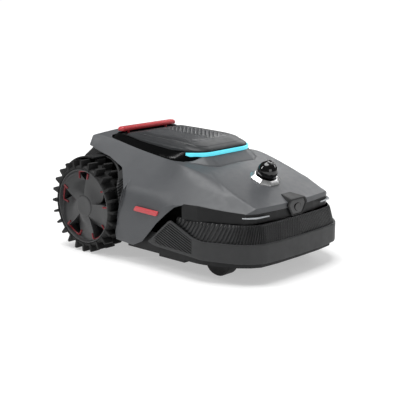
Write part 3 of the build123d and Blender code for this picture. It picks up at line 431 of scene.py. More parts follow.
def rib_table(side_steps=9, nose_steps=90, tail_steps=60):
    """Four rails (start, crease, shoulder, edge) as arrays of xyz, from the tail's middle along the
    left side to the nose's middle. Side ribs are interpolated between the listed ones."""
    keys = np.arange(len(SIDE_RIBS))
    t = np.linspace(0, len(SIDE_RIBS) - 1, side_steps * (len(SIDE_RIBS) - 1) + 1)
    r = np.stack([np.interp(t, keys, SIDE_RIBS[:, k]) for k in range(8)], 1)
    r[:, :6] = np.stack([running_mean(c, 4) for c in r[:, :6].T], 1)
    start = np.stack([r[:, 0], r[:, 1], top_z(r[:, 0], r[:, 1])], 1)
    crease = np.stack([r[:, 2], crease_y(r[:, 2]), crease_z(r[:, 2])], 1)
    shoulder = np.stack([r[:, 4], side_y(r[:, 4], r[:, 5]), r[:, 5]], 1)
    edge = np.stack([r[:, 6], side_y(r[:, 6], r[:, 7]), r[:, 7]], 1)
    side = np.stack([start, crease, shoulder, edge], 1)

    plan = open_path(NOSE_PLAN, nose_steps, 14)
    bay = open_path(APRON_FRONT, nose_steps, 8)
    near = plan * [1, 0.97] + [-7, 0]
    near[:, 1] = np.minimum(near[:, 1], crease_y(near[:, 0]))
    nose = np.stack([raised(bay, top_z(*bay.T)), raised(near, top_z(*near.T)),
                     raised(plan, top_z(*plan.T) - 0.3), raised(plan, NOSE_EDGE_Z)], 1)
    tail_bay = open_path(BAY_REAR, tail_steps, 6)
    edge_y, edge_x, fold_x = [np.interp(np.linspace(0, 1, tail_steps), [0, 0.75, 1], ends) for ends
                              in ([0, 137, 139], [TAIL_X, TAIL_X, -209], [TAIL_X, TAIL_X, -195])]
    fold_y = np.minimum(edge_y * 0.93, crease_y(fold_x))
    low_z = np.interp(edge_x, [TAIL_X, -209], [TAIL_EDGE_Z, 226.6])
    fold = np.c_[fold_x, fold_y, top_z(fold_x, fold_y)]
    tail = np.stack([raised(tail_bay, top_z(*tail_bay.T)), fold,
                     np.c_[edge_x, edge_y, low_z + 2], np.c_[edge_x, edge_y, low_z]], 1)
    return np.concatenate([tail[:-1], side, nose[1:]]), tail_steps - 1, len(side)


rails, tail_count, side_count = rib_table()
print("shell ribs on the left half:", len(rails))


# %% The shell's skin
def rib_points(s):
    """Point of each rib at s from 0 (bay) to 1 (lower edge): straight between the four rails in
    plan or side view, then dropped onto the body: the top gives z, the side gives y."""
    knots = [0, S_CREASE, S_SHOULDER, 1]
    p = np.empty(s.shape + (3,))
    for k in range(3):
        low, high = knots[k], knots[k + 1]
        w = np.clip((s - low) / (high - low), 0, 1)[..., None]
        part = rails[:, None, None, k] * (1 - w) + rails[:, None, None, k + 1] * w
        p = np.where((s >= low)[..., None], part, p)
    on_top = s < S_CREASE
    index = np.arange(len(rails))[:, None, None]
    at_side = (index >= tail_count) & (index < tail_count + side_count)
    p[..., 2] = np.where(on_top, top_z(p[..., 0], p[..., 1]), p[..., 2])
    p[..., 1] = np.where(at_side & ~on_top, side_y(p[..., 0], p[..., 2]), p[..., 1])
    return p


def shell_skin():
    """Each point is the mean of its rib over a window, which rounds the crease and the shoulder.
    The window grows towards the nose at the crease, and shrinks to nothing at both ends."""
    s = np.linspace(0, 1, RIBS_ACROSS * 2)[None, :]
    x = rails[:, 1, 0][:, None]
    run = np.linalg.norm(np.diff(rails, axis=1), axis=2).sum(1)[:, None]
    at_nose = np.clip((np.arange(len(rails)) - tail_count - side_count + 6) / 6.0, 0, 1)[:, None]
    at_tail = np.clip((tail_count - np.arange(len(rails))) / 6.0, 0, 1)[:, None]
    crease_reach = np.interp(x, [-60, 60, 180], [8, 16, 34]) * (1 - at_nose) + 9 * at_nose
    shoulder_reach = 16 * (1 - at_nose) * (1 - at_tail) + 2.5
    mix = np.clip((s - S_CREASE) / (S_SHOULDER - S_CREASE), 0, 1)
    reach = (crease_reach * (1 - mix) + shoulder_reach * mix) / run
    reach = np.minimum(reach, np.minimum(s, 1 - s))
    return rib_points(s[..., None] + TAPS * reach[..., None]).mean(2)


def closed_wall(outer, wall, curl):
    """Outer skin plus an inner one, wall further in along the normal, with both edges curled over
    a quarter circle so that they catch the light. Rows run round the ring, columns across it."""
    along = np.roll(outer, -1, 0) - np.roll(outer, 1, 0)
    across = np.gradient(outer, axis=1)
    normal = np.cross(along, across)
    normal /= np.linalg.norm(normal, axis=2, keepdims=True) + 1e-9
    if np.mean(normal[:, :outer.shape[1] // 3, 2]) < 0:
        normal = -normal
    across /= np.linalg.norm(across, axis=2, keepdims=True) + 1e-9
    theta = np.radians([30.0, 60.0, 90.0])

    def rolled(column, sign):
        """The quarter circle beyond one edge; sign says on which side of the column it lies."""
        base, n, t = outer[:, column:][:, :1], normal[:, column:][:, :1], across[:, column:][:, :1]
        return base + curl * (sign * np.sin(theta)[:, None] * t - (1 - np.cos(theta))[:, None] * n)
    last = outer.shape[1] - 1
    inner = (outer - wall * normal)[:, ::-4]
    return np.concatenate([outer, rolled(last, 1), inner, rolled(0, -1)[:, ::-1]], 1)


half_skin = shell_skin()
other_half = half_skin[1:-1][::-1] * [1, -1, 1]
SHELL_WALL, SHELL_CURL = 2.5, 0.8
shell_ring = closed_wall(np.concatenate([half_skin, other_half]), SHELL_WALL, SHELL_CURL)
make_piece("painted_shell", solid_from(shell_ring, True), "chassis", "shell_paint",
           ["upper_shell"], sharp_deg=50)

# %% [markdown]
# ## The control bay
# A gloss black surround stands on the shell and carries the lid. Its wall leans inwards from a wide
# base to the lid's edge. The corners of base and top are listed in pairs, so both are rounded alike
# and the wall is simply the straight lines between them.

# %% The bay's surround and tub
BAY_COUNT = 360
# base x, base y, top x, top y of each corner of the wall's left half
BAY_WALL = two_sided([(-189, 100, -187, 86), (-177, 110, -165, 92), (-70, 110, -70, 95.5),
                      (2, 110, 4, 98), (24, 108.5, 24, 97), (45, 104, 44, 93.5), (66, 95, 62, 80.5),
                      (77, 72, 74, 60)])
TUB = two_sided([(-162, 80), (61, 80)])
LID_EDGE = np.array([(-230, 257), (-177, 257), (-101, 246), (-7, 238), (123, 239)], float)
REAR_DECK_X, REAR_DECK_Z = -155, 253.2
WELL_FLOOR_Z = 206.0


def lid_edge_z(x):
    """Height of the lid's edge along the body."""
    return np.interp(x, LID_EDGE[:, 0], LID_EDGE[:, 1])


def bay_surround():
    """Rows: under the shell, at the shell's skin, halfway up, at the lid's edge, over the edge,
    across to the tub's rim, down inside the tub and back up behind its wall."""
    wall = loop(BAY_WALL, BAY_COUNT, 22)
    base, high = wall[:, :2], wall[:, 2:]
    tub = loop(TUB, BAY_COUNT, 6)
    tub_rim = inset(tub, -3)
    base_z = 220 - 0.133 * base[:, 0]
    edge_z = lid_edge_z(high[:, 0]) - 0.5
    inside, well = inset(high, 0.9), inset(high, 2.5)
    floor_z = np.where(well[:, 0] < REAR_DECK_X, REAR_DECK_Z, edge_z - 3)
    rim_z = np.where(tub_rim[:, 0] < REAR_DECK_X, REAR_DECK_Z, lid_edge_z(tub_rim[:, 0]) - 3)
    rim_z = np.minimum(rim_z, 254)
    mean = (base + high) / 2
    rows = [np.c_[base, base_z - 9], np.c_[base, base_z], np.c_[mean, (base_z + edge_z) / 2],
            np.c_[high, edge_z - 0.9], np.c_[inside, edge_z], np.c_[well, floor_z],
            np.c_[tub_rim, rim_z], np.c_[tub, rim_z - 1], pad(tub, [(0, WELL_FLOOR_Z)])[0],
            pad(tub, [(-3, WELL_FLOOR_Z - 3)])[0], np.c_[tub_rim, rim_z - 6],
            np.c_[inset(base, 6), base_z - 9]]
    return np.stack(rows)


tub_floor = pad(loop(TUB, BAY_COUNT, 6), [(0.0, WELL_FLOOR_Z - 3), (0.0, WELL_FLOOR_Z + 0.2)])
post_plan = loop([(-153, 52.3), (-141, 52.3), (-141, 58), (-153, 58)], 48, 2)
post = pad(post_plan, [(0, 205), (0, 255.5), (0.3, 256.6), (1, 257.2)])
make_piece("bay_surround", joined(solid_from(bay_surround(), True), solid_from(tub_floor),
                                  both(solid_from(post))),
           "chassis", "gloss_black", ["control_bay"], sharp_deg=40)

# %% [markdown]
# Round the front of the bay runs a glowing blue light guide, and below it a painted apron plate
# meets the hood. The guide is a bar of constant section, so a section carried along a path makes it
# in one step. A flat plate would leave a gap where the hood falls away, so the apron is stretched
# between two edges: the outer one lies on the shell and the inner one climbs to the guide.

# %% The light guide and the apron plate
STRIP_Z = (228.5, 237.5)
STRIP_PATH = [(41, 96.3), (63, 80), (74.3, 60), (74.3, -60), (63, -80), (41, -96.3)]
# inner x, y, outer x, y of each corner of the apron's left half
APRON = [(46, 95, 44, 105.2), (56, 88, 54, 102), (64, 81, 66, 97.4), (71, 71, 90, 81.5),
         (76.4, 58, 104.6, 58)]
APRON_RISE, APRON_THICK = 9.5, 4
STRIP_COUNT = APRON_COUNT = 160


def carried(path, section, ends):
    """A closed section of (outwards, height) steps carried along a flat path. ends gives a factor
    for the section's depth at each point, so that the piece can taper away."""
    steps = np.asarray(section, float)
    return raised(pushed(path, steps[None, :, 0] * ends[:, None]), steps[:, 1])


strip_path = open_path(STRIP_PATH, STRIP_COUNT, 26)
low, high = STRIP_Z
strip_section = [(0.4, low), (2.6, low), (3.6, low + 1), (4.0, low + 2.6), (4.0, high - 2.6),
                 (3.6, high - 1), (2.6, high), (0.4, high)]
from_end = np.minimum(np.arange(STRIP_COUNT), np.arange(STRIP_COUNT)[::-1])
taper = np.clip(from_end / 7.0, 0.12, 1)
make_piece("light_guide", solid_from(carried(strip_path, strip_section, taper)), "chassis",
           "strip_light", ["light_strip"])


def apron_plate():
    """A sheet between the strip and the hood's seam. Its outer edge lies on the shell; its inner
    edge climbs from the shell at the sides to the strip's foot in front, with straight lines
    between them that bend down softly at the seam."""
    right = [(x, -y, u, -v) for x, y, u, v in APRON[::-1]]
    edges = open_path(APRON + right, APRON_COUNT, 14)
    inner, outer = edges[:, :2], edges[:, 2:]
    v = np.linspace(0, 1, 15)[:, None, None]
    flat = inner * (1 - v) + outer * v
    high = STRIP_Z[0] + 1.1 - APRON_RISE * (1 - smooth(inner[:, 0], 46, 72))
    low = top_z(outer[:, 0], outer[:, 1]) + 0.6
    v = v[..., 0]
    height = high * (1 - v) + low * v - 1.2 * np.clip((v - 0.93) / 0.07, 0, 1) ** 2
    top = raised(flat, height)
    return np.concatenate([top, top[::-1] - [0, 0, APRON_THICK]])


make_piece("apron_plate", closed_strip(apron_plate()), "chassis", "shell_paint", ["apron_panel"])

# %% [markdown]
# The red stop bar behind the lid is pressed to halt the mower, and rides on two stems. A bevelled
# box would look stiff, so its rows are insets of one rounded outline: the sides stand up, then roll
# over in a quarter circle into a gently crowned top.

# %% The stop bar
bar_low, bar_high = [np.array(c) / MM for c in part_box("stop_bar")]
BAR_X = (bar_low[0] + bar_high[0]) / 2
BAR_FOOT_Z, BAR_TOP_Z = 260.0, bar_high[2]
bar_half = np.array([(bar_high[0] - bar_low[0]) / 2, (bar_high[1] - bar_low[1]) / 2])
bar_corners = np.array([(-1, -1), (1, -1), (1, 1), (-1, 1)]) * bar_half + [BAR_X, 0]
bar_outline = loop(bar_corners, 220, 15)
bar_turn = np.radians(np.linspace(0, 90, 9))
BAR_ROLL_R = 6
bar_roll = [(BAR_ROLL_R * (1 - np.cos(a)), BAR_TOP_Z - 0.6 - BAR_ROLL_R * (1 - np.sin(a)))
            for a in bar_turn]
bar_rows = [(0.8, BAR_FOOT_Z), (0, BAR_FOOT_Z + 1), *bar_roll, (7.5, BAR_TOP_Z - 0.4),
            (9.2, BAR_TOP_Z - 0.25)]
stem = pad(loop([(BAR_X - 3, 57), (BAR_X + 3, 57), (BAR_X + 3, 63), (BAR_X - 3, 63)], 24, 5),
           [(0, 239.5), (0, 259)])
make_piece("stop_bar_cap", joined(solid_from(pad(bar_outline, bar_rows)), both(solid_from(stem))),
           "stop_bar", "red_plastic", ["stop_bar"], sharp_deg=60)

# %% [markdown]
# ## The lid
# The lid is a shallow dome over the bay. Its height falls from the crown to the edge as a
# superellipse of the way out from the middle, so the centre stays broad and the rim turns down
# crisply. A subdivided cage could give the same dome, but its edge would be hard to place.

# %% The lid's cover
LID_PLAN = two_sided([(-156.5, 88), (-97, 92.6), (-7, 94.6), (43, 91), (63, 79), (73, 60)])
LID_CROWN = np.array([(-180, 264.0), (22, 258.0), (74, 246.6)])
LID_COUNT = 320
LID_MIDDLE = np.array([-40.0, 0.0])
LID_THICK = 3


def lid_crown_z(x):
    """Height of the lid's middle line, averaged over 60 mm."""
    return np.mean([np.interp(x + d, LID_CROWN[:, 0], LID_CROWN[:, 1]) for d in TAPS * 30], 0)


def lid_height(x, out):
    """Crown height blended to the edge's: edge + (crown - edge) * (1 - out^5)^(1/2.2)."""
    edge = lid_edge_z(x)
    return edge + (lid_crown_z(x) - edge) * np.maximum(1 - out ** 5, 0) ** (1 / 2.2)


def lid_cover():
    """Rows from the middle outwards over the top, then back inwards underneath, lower by the
    lid's thickness."""
    plan = loop(LID_PLAN, LID_COUNT, 18)
    out = 1 - (1 - np.linspace(0.02, 1, 44)) ** 1.7
    flat = LID_MIDDLE + (plan - LID_MIDDLE) * out[:, None, None]
    top = raised(flat, lid_height(flat[..., 0], out[:, None]))
    under_out = np.linspace(0.965, 0.02, 12)
    flat = LID_MIDDLE + (plan - LID_MIDDLE) * under_out[:, None, None]
    roof = lid_crown_z(flat[..., 0]) - LID_THICK
    wall = np.clip((under_out - 0.93) / 0.035, 0, 1)[:, None]
    under = roof * (1 - wall) + lid_edge_z(flat[..., 0]) * wall
    return np.concatenate([top, raised(flat, under)])


HINGE_X, HINGE_Z = -147.0, 253.1
knuckle = loop([(HINGE_X - 5, HINGE_Z - 5), (HINGE_X + 5, HINGE_Z - 5),
                (HINGE_X + 5, HINGE_Z + 5.5), (HINGE_X - 5, HINGE_Z + 5.5)], 32, 9)
knuckle_rows = np.stack([np.c_[knuckle[:, 0], np.full(32, y), knuckle[:, 1]]
                         for y in (44, 45, 51, 51.6)])
make_piece("lid_cover", joined(solid_from(lid_cover()), both(solid_from(knuckle_rows))), "lid",
           "lid_gloss", ["lid_shell"], sharp_deg=40)


# %% [markdown]
# A chevron of fine ribs is let into the lid's crown. It has its own finish, so it is a piece of its
# own: a thin sheet that repeats the lid's height formula and adds a wave to it.

# %% The lid's ribbed panel
PANEL_PLAN = two_sided([(-130, 40), (-124, 58), (-87, 66), (20, 58), (29, 46)])
PANEL_MIDDLE = np.array([-50.0, 0.0])
RIB_PITCH, RIB_HEIGHT = 8.7, 0.6
LID_REACH = 94.0, 113.0, 117.0      # of the lid from its middle: sideways, forwards, backwards


def ribbed_panel():
    """A thin sheet on the crown. Ribs follow the phase (0.73 x + 0.68 |y|) / pitch, a chevron that
    points forward; each rib is a raised half wave that fades out near the panel's edge."""
    plan = loop(PANEL_PLAN, 480, 14)
    out = np.linspace(0.01, 1, 110)[:, None]
    flat = PANEL_MIDDLE + (plan - PANEL_MIDDLE) * out[..., None]
    x, y = flat[..., 0], flat[..., 1]
    phase = (0.73 * x + 0.68 * np.abs(y)) / RIB_PITCH
    rib = np.maximum(np.cos(2 * np.pi * phase), -0.2) * np.clip((0.93 - out) / 0.06, 0, 1)
    ahead = x - LID_MIDDLE[0]
    plan_out = np.max([np.abs(y) / LID_REACH[0], ahead / LID_REACH[1], -ahead / LID_REACH[2]], 0)
    base = lid_height(x, np.clip(plan_out, 0, 1))
    edge = np.clip((out - 0.97) / 0.03, 0, 1) ** 2
    top = raised(flat, base + 0.35 + RIB_HEIGHT * (rib - edge))
    return np.concatenate([top, top[::-10] - [0, 0, 2.0]])


make_piece("lid_ribs", solid_from(ribbed_panel()), "lid", "lid_ribbed", ["lid_insert"],
           sharp_deg=60)

# %% [markdown]
# ## The bumper
# The bumper is a band that follows one plan from the side, round the nose and back. Its plan is a
# rounded path; its upper and lower edges are functions of the place along the body. The side fields
# carry slanting grooves and the wall above it carries raked ribs: both are small waves added to the
# distance from the path, so they are real relief and not paint.

# %% The bumper's plan
BUMPER_HALF = [(25, 194), (153, 194), (175, 191), (210, 176), (244, 161), (266, 141), (280, 118),
               (285, 69), (286, 0)]
bumper_plan = BUMPER_HALF + [(x, -y) for x, y in BUMPER_HALF[-2::-1]]
TOP_LINE = np.array([(26, 61), (87, 115.5), (150, 89), (174, 84), (300, 84)], float)
FOOT_LINE = np.array([(26, 58), (41, 52.6), (153, 48.6), (174, 46), (300, 44)], float)
BUMPER_COUNT, BUMPER_ROUND = 900, 18
BUMPER_THICK = 4.7
GROOVE_PITCH, GROOVE_DEPTH = 5.2, 3.6
GROOVE_ACROSS = 0.369, 0.929     # x and z of the direction across the grooves


def mean_line(line, x, reach=5.0):
    """Height of a line of (x, z) corners, averaged over a few millimetres to round the corners."""
    return np.mean([np.interp(x + d, line[:, 0], line[:, 1]) for d in TAPS * reach], 0)


def bumper_band():
    """Outer face from the foot to the top, a rolled edge, then the inner face back down. The
    grooves are clipped cosines of the distance across the slant, on the two sides only."""
    path = open_path(bumper_plan, BUMPER_COUNT, BUMPER_ROUND)
    x = path[:, 0]
    top, foot = mean_line(TOP_LINE, x), mean_line(FOOT_LINE, x, 8)
    v = np.concatenate([np.linspace(0, 1, 84), np.ones(3)])
    z = foot[:, None] + (top - foot)[:, None] * v
    z[:, -3:] += [0.4, 0.5, 0.4]
    side = (np.abs(path[:, 1]) > 180)[:, None]
    across = (z - 110) * GROOVE_ACROSS[1] + (x[:, None] - 85) * GROOVE_ACROSS[0]
    wave = np.clip(0.4 + 1.2 * np.cos(2 * np.pi * across / GROOVE_PITCH), 0, 1)
    edge = np.minimum(top[:, None] - z - 4.5, z - foot[:, None] - 5)
    reach = np.minimum(edge, np.minimum(x[:, None] - 42, 152 - x[:, None]) / 2.5)
    grooves = side * np.clip(reach / 2.5, 0, 1) * wave * GROOVE_DEPTH
    z_roll = np.clip((z - (top[:, None] - 2)) / 2, 0, 1) ** 2 * 0.7
    foot_roll = np.clip((foot[:, None] + 1.5 - z) / 1.5, 0, 1) ** 2 * 0.6
    depth = -(grooves + z_roll + foot_roll)
    depth[:, -3:] = [-1.0, -2.0, -4.4]
    depth = np.concatenate([depth, np.full((BUMPER_COUNT, 2), -BUMPER_THICK)], 1)
    z = np.concatenate([z, np.stack([top - 1, foot], 1)], 1)
    return raised(pushed(path, depth), z)


make_piece("bumper_skin", solid_from(bumper_band()), "bumper", "black_plastic", ["bumper_shell"],
           sharp_deg=35, finish="bumper_plastic")


# %% [markdown]
# Above the bumper a wall of raked ribs closes the gap under the hood. Separate ribs would be many
# objects; one wall whose distance from the path is a wave of its length gives them all at once.

# %% The ribbed wall above the bumper
GRILLE_LOW, GRILLE_TOP, GRILLE_REAR_X = 80.0, 121.0, 95.0
GRILLE_COUNT, GRILLE_RIB, GRILLE_LEAN = 2600, 2.5, 10.8


def ribbed_wall():
    """A wall that leans back as it rises. Its ribs are raked: their phase is the length along the
    path plus 0.35 times the height, and their pitch grows from 5.6 mm at the nose to 10 mm at the
    sides."""
    path = open_path(bumper_plan, GRILLE_COUNT, BUMPER_ROUND)
    along = lengths(path)
    middle = along[-1] / 2
    keep = path[:, 0] > GRILLE_REAR_X
    path, along = path[keep], along[keep]
    far = np.abs(along - middle)
    turns = np.cumsum(np.gradient(far) / np.interp(far, [150, 230], [5.6, 10.0]))
    z = np.linspace(GRILLE_LOW, GRILLE_TOP, 16)
    rake = 0.35 * (z - GRILLE_LOW)[None, :] / 7.0
    rib = np.clip(0.5 + 0.8 * np.cos(2 * np.pi * (turns[:, None] + rake)), 0, 1)
    fade = np.clip((GRILLE_TOP - 1 - z) / 3, 0, 1) * np.clip((z - GRILLE_LOW) / 2, 0, 1)
    lean = 3.2 + (z - GRILLE_LOW) / (GRILLE_TOP - GRILLE_LOW) * GRILLE_LEAN
    depth = -(lean[None, :] + GRILLE_RIB * (1 - rib * fade[None, :]))
    behind = np.broadcast_to([-17.5, -6.7], (len(path), 2))
    depth, z = np.concatenate([depth, behind], 1), np.append(z, [GRILLE_TOP, GRILLE_LOW])
    return raised(pushed(path, depth), z)


make_piece("nose_ribs", solid_from(ribbed_wall()), "bumper", "black_plastic", ["bumper_grille"],
           sharp_deg=45, finish="grille_plastic")

# %% [markdown]
# ## Wheels and tyres
# Each drive wheel is a thick disc. Five broad blades slope like the steps of a fan, and a window
# opens near the rim where a blade is lowest. Windows cut with booleans leave ragged shading, so the
# face is a height over angle and radius, which simply drops deep inside each window.

# %% The wheel's face
WHEEL_LOW, WHEEL_HIGH = [np.array(c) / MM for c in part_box("tyre_right")]
WHEEL_X, WHEEL_Z = (WHEEL_LOW[0] + WHEEL_HIGH[0]) / 2, (WHEEL_LOW[2] + WHEEL_HIGH[2]) / 2
WHEEL_INNER_Y, WHEEL_OUTER_Y = -WHEEL_HIGH[1], -WHEEL_LOW[1]
FACE_Y = WHEEL_OUTER_Y - 6.0
RIM_R, LIP_R, BORE_R = 83.6, 80.0, 20.0
BLADES, BLADE_DEG, FIRST_STEP_DEG = 5, 72, 84.0
BLADE_STEP = 13.5
WINDOW_SHARE, WINDOW_DEPTH = 0.33, 42.0       # its share of a blade at the rim, and its depth
FACE_STEPS = 900


def swirl(r):
    """How far the blades are swept on at a radius, in shares of a blade: a tenth every 50 mm."""
    return 0.10 * (r - 50) / 50


def blade_height(turn, r):
    """Height of the blades: turn is the place between two steps, 0 to 1. A blade climbs from its
    low edge at 0 to its high edge at 1; the step fades out towards the hub."""
    step = BLADE_STEP * smooth(r, 22, 60)
    return -step * (1 - turn) ** 1.25 - 1.0


def circle(count):
    """Angles of a full turn in equal steps, as a column."""
    return np.linspace(0, 2 * np.pi, count, endpoint=False)[:, None]


def about_axle(r, angle, y):
    """Points at a radius, an angle and a depth about the axle."""
    points = np.broadcast_arrays(WHEEL_X + r * np.cos(angle), y, WHEEL_Z + r * np.sin(angle))
    return np.stack(points, -1)


def wheel_face():
    """Rows run round the axle; columns from the bore outwards, over the lip and back behind."""
    angle = circle(FACE_STEPS)
    r = np.linspace(BORE_R, RIM_R, 66)[None, :]
    turn = ((np.degrees(angle) - FIRST_STEP_DEG) / BLADE_DEG + swirl(r)) % 1
    window = (turn < WINDOW_SHARE * smooth(r, 40, 74)) & (turn > 0.012) & (r > 46) & (r < 77.5)
    face = blade_height(turn, r) * (1 - smooth(r, 77, 80)) + 3.2 * smooth(r, 79.2, LIP_R + 0.6)
    face = np.where(window, -WINDOW_DEPTH, face) - 1.2 * smooth(r, 82.6, RIM_R)
    depth = np.concatenate([FACE_Y + face, np.full((FACE_STEPS, 2), WHEEL_INNER_Y + 4)], 1)
    return about_axle(np.append(r, [[RIM_R, BORE_R]], 1), angle, depth)


def tube(path, radius, sides=10):
    """A round section carried along a 3-D path, square to it."""
    run = np.gradient(path, axis=0)
    run /= np.linalg.norm(run, axis=1, keepdims=True)
    side = np.cross(run, [0, 1.0, 0])
    side /= np.linalg.norm(side, axis=1, keepdims=True)
    up = np.cross(side, run)
    a = circle(sides)
    return path[:, None] + radius * (np.cos(a) * side[:, None] + np.sin(a) * up[:, None])


RED_LINE_R = 2.0


def window_lines():
    """The red line round each window's outer side, on the surface of the blades beside it."""
    corners = np.array([(0.37, 63), (0.36, 77.6), (0.0, 78.6), (-0.04, 76), (-0.06, 64)])
    turn, r = (open_path(corners * [90, 1], 70, 5) / [90, 1]).T
    parts = []
    for k in range(BLADES):
        degrees = (turn - swirl(r) + k) * BLADE_DEG + FIRST_STEP_DEG
        height = running_mean(blade_height(turn % 1, r) * (1 - smooth(r, 77, 80)) + 1.0, 4)
        line = about_axle(r, np.radians(degrees), FACE_Y + height)
        parts.append(solid_from(tube(line, RED_LINE_R)))
    return joined(*parts)


def hub_button():
    """A round cap with a shallow dish: a profile of (radius, height) turned round the axle."""
    profile = [(3, -0.3), (15, 0.0), (20.5, 0.3), (23.2, 0.1), (24.4, -0.6), (24.8, -3)]
    r, h = np.array(profile).T
    return about_axle(r, circle(96), FACE_Y + h).swapaxes(0, 1)


# %% [markdown]
# The tyre is a ring with two staggered rows of lugs that bite into turf. The ring is a section
# turned round the axle. One lug is shaped once and turned to every place in one array operation.

# %% The tyre
CARCASS_R, LUG_R, LUGS = 91.0, 104.0, 24
LUG_LONG, LUG_SKEW = 28.0, 0.9


def carcass():
    """The section (radius, y) turned round the axle: bead, sidewall, tread and back inside."""
    mid = (WHEEL_INNER_Y + WHEEL_OUTER_Y) / 2
    section = [(84, -27), (86, -28.6), (89, -28), (CARCASS_R, -24), (CARCASS_R + 0.6, 0),
               (CARCASS_R, 24), (89, 28), (86, 28.8), (84, 28), (83.7, 20), (83.7, -20)]
    r, y = loop(section, 60, 4).T
    return about_axle(r, circle(216), mid + y)


def lugs(y0, first_turn):
    """One lug, a block that narrows to a chamfered tip, turned to every place at once. Its layers
    are given as (radius, half width, y in, y out)."""
    layers = np.array([(85.5, 3.9, 0, 0), (93, 3.6, 0, 0), (102.3, 3.0, 0, 0),
                       (103.6, 2.6, 0.6, 0.6), (LUG_R, 1.9, 1.6, 1.6)])
    r, w, a, b = layers.T[:, :, None]
    along = np.array([0.22, 0.0, 0.0, 0.22, 0.78, 1.0, 1.0, 0.78])
    across = np.array([-1.0, -0.8, 0.8, 1.0, 1.0, 0.8, -0.8, -1.0])
    y = (y0 + a) + (LUG_LONG - a - b) * (along * 0.94 + 0.03)
    t = w * across + LUG_SKEW * (along - 0.5)
    turn = 2 * np.pi * np.arange(LUGS)[:, None, None] / LUGS + first_turn
    x = r * np.cos(turn) - t * np.sin(turn)
    z = r * np.sin(turn) + t * np.cos(turn)
    blocks = np.stack([WHEEL_X + x, np.broadcast_to(y, x.shape), WHEEL_Z + z], -1)
    return joined(*[solid_from(block) for block in blocks])


tread = joined(solid_from(carcass(), True),
               lugs(WHEEL_OUTER_Y + 0.6 - LUG_LONG, 0.0),
               lugs(WHEEL_INNER_Y - 0.6, np.pi / LUGS))
wheel_parts = {
    "tyre_tread": (tread, "tyre", "tyre"),
    "wheel_disc": (solid_from(wheel_face(), True), "wheel_plastic", "wheel_hub"),
    "wheel_red_lines": (window_lines(), "red_plastic", None),
    "wheel_cap": (solid_from(hub_button()), "wheel_plastic", "hub_cap"),
}
for side, turned in (("left", lambda part: part), ("right", mirrored)):
    for name, (part, slot, node) in wheel_parts.items():
        make_piece(f"{name}_{side}", turned(part), f"drive_wheel_{side}", slot,
                   [f"{node}_{side}"] if node else [], sharp_deg=38,
                   finish=None if node else "wheel_red")

# %% [markdown]
# ## Sensors on the hood
# A dark globe, which turns a ranging beam inside, stands in a faceted silver collar. Both are made
# upright, the globe as a profile turned round its axis and the collar as insets of an eight-sided
# outline, and then leaned forward with the hood.

# %% The globe and its collar
HOOD_POINT = np.array([181.0, 0.0, 187.0])
HOOD_TILT = np.arctan(0.38)
GLOBE_R, GLOBE_LIFT = 21.8, 18.0


def leaned(grid):
    """Turns a shape from upright to square with the hood, about the hood point."""
    c, s = np.cos(HOOD_TILT), np.sin(HOOD_TILT)
    x, y, z = np.moveaxis(grid, -1, 0)
    return HOOD_POINT + np.stack([c * x + s * z, y, -s * x + c * z], -1)


def globe():
    """Radius and height of the globe's side: a stem, most of a sphere, then a flat ring cap."""
    polar = np.radians(np.linspace(-35, 64, 40))
    sphere = np.stack([GLOBE_R * np.cos(polar), GLOBE_LIFT + GLOBE_R * np.sin(polar)], 1)
    ring = [(8.9, 38.4), (8.9, 40.0), (8.3, 40.6), (6.4, 40.6), (5.8, 40.0), (5.2, 39.6), (1, 39.5)]
    profile = np.vstack([[(18.0, -8), (18.0, 5)], sphere, ring])
    a = circle(96).T
    r, h = profile[:, :1], profile[:, 1:]
    return np.stack([r * np.cos(a), r * np.sin(a), h + 0 * a], -1)


def collar():
    """Eight-sided collar: an outer edge, a slope up to a flat brim and a bore round the globe."""
    eight = loop(two_sided([(-30, 14), (-14, 33), (14, 33), (30, 14)]), 240, 1.5)
    direction = np.arctan2(eight[:, 1], eight[:, 0])
    bore = 22.4 * np.stack([np.cos(direction), np.sin(direction)], 1)
    rows = [(eight, -2.5), (eight, 0.3), (eight * 0.985, 0.9), (eight * 0.79, 6.8),
            (eight * 0.77, 7.2), (bore + 0.25 * (eight * 0.77 - bore), 7.0), (bore, 5.2),
            (bore, -2.5)]
    return np.stack([np.c_[flat, np.full(240, h)] for flat, h in rows])


make_piece("dark_globe", solid_from(leaned(globe())), "chassis", "dome_black", ["lidar_dome"],
           sharp_deg=45)
make_piece("silver_collar", solid_from(leaned(collar()), True), "chassis", "bezel_silver",
           ["lidar_bezel"], sharp_deg=20)

# %% [markdown]
# The camera looks out under a visor at the nose: a six-sided outline that shrinks as it runs back
# into the hood. Its rim and the pocket for the lens are more slices of the same outline.

# %% The camera's visor
VISOR_X, VISOR_Z = 269.0, 140.0
SIX = np.array([(18.2, -17.5), (33, 7), (25, 19), (-25, 19), (-33, 7), (-18.2, -17.5)])


def slice_of(outline, wide, tall, forward, lift):
    """The outline scaled across and in height, set upright at a distance from the visor."""
    y, z = outline.T
    return np.c_[np.full(len(y), VISOR_X + forward), wide * y, VISOR_Z + lift + tall * z]


def visor():
    """Rows: the pocket's floor, up the pocket's wall, the rounded rim, then back into the hood
    while the outline shrinks to 0.64 across and 0.6 in height and lifts 13 mm."""
    six = loop(SIX, 300, 7)
    rim = [(0.80, -5), (0.80, -0.9), (0.83, -0.2), (0.88, 0.0), (0.97, 0.0), (1.0, -1.2)]
    return np.stack([slice_of(six, k, k, x, 0) for k, x in rim] +
                    [slice_of(six, 1 - 0.36 * back, 1 - 0.4 * back, -32 * back, 13 * back)
                     for back in np.linspace(0.12, 1, 8)])


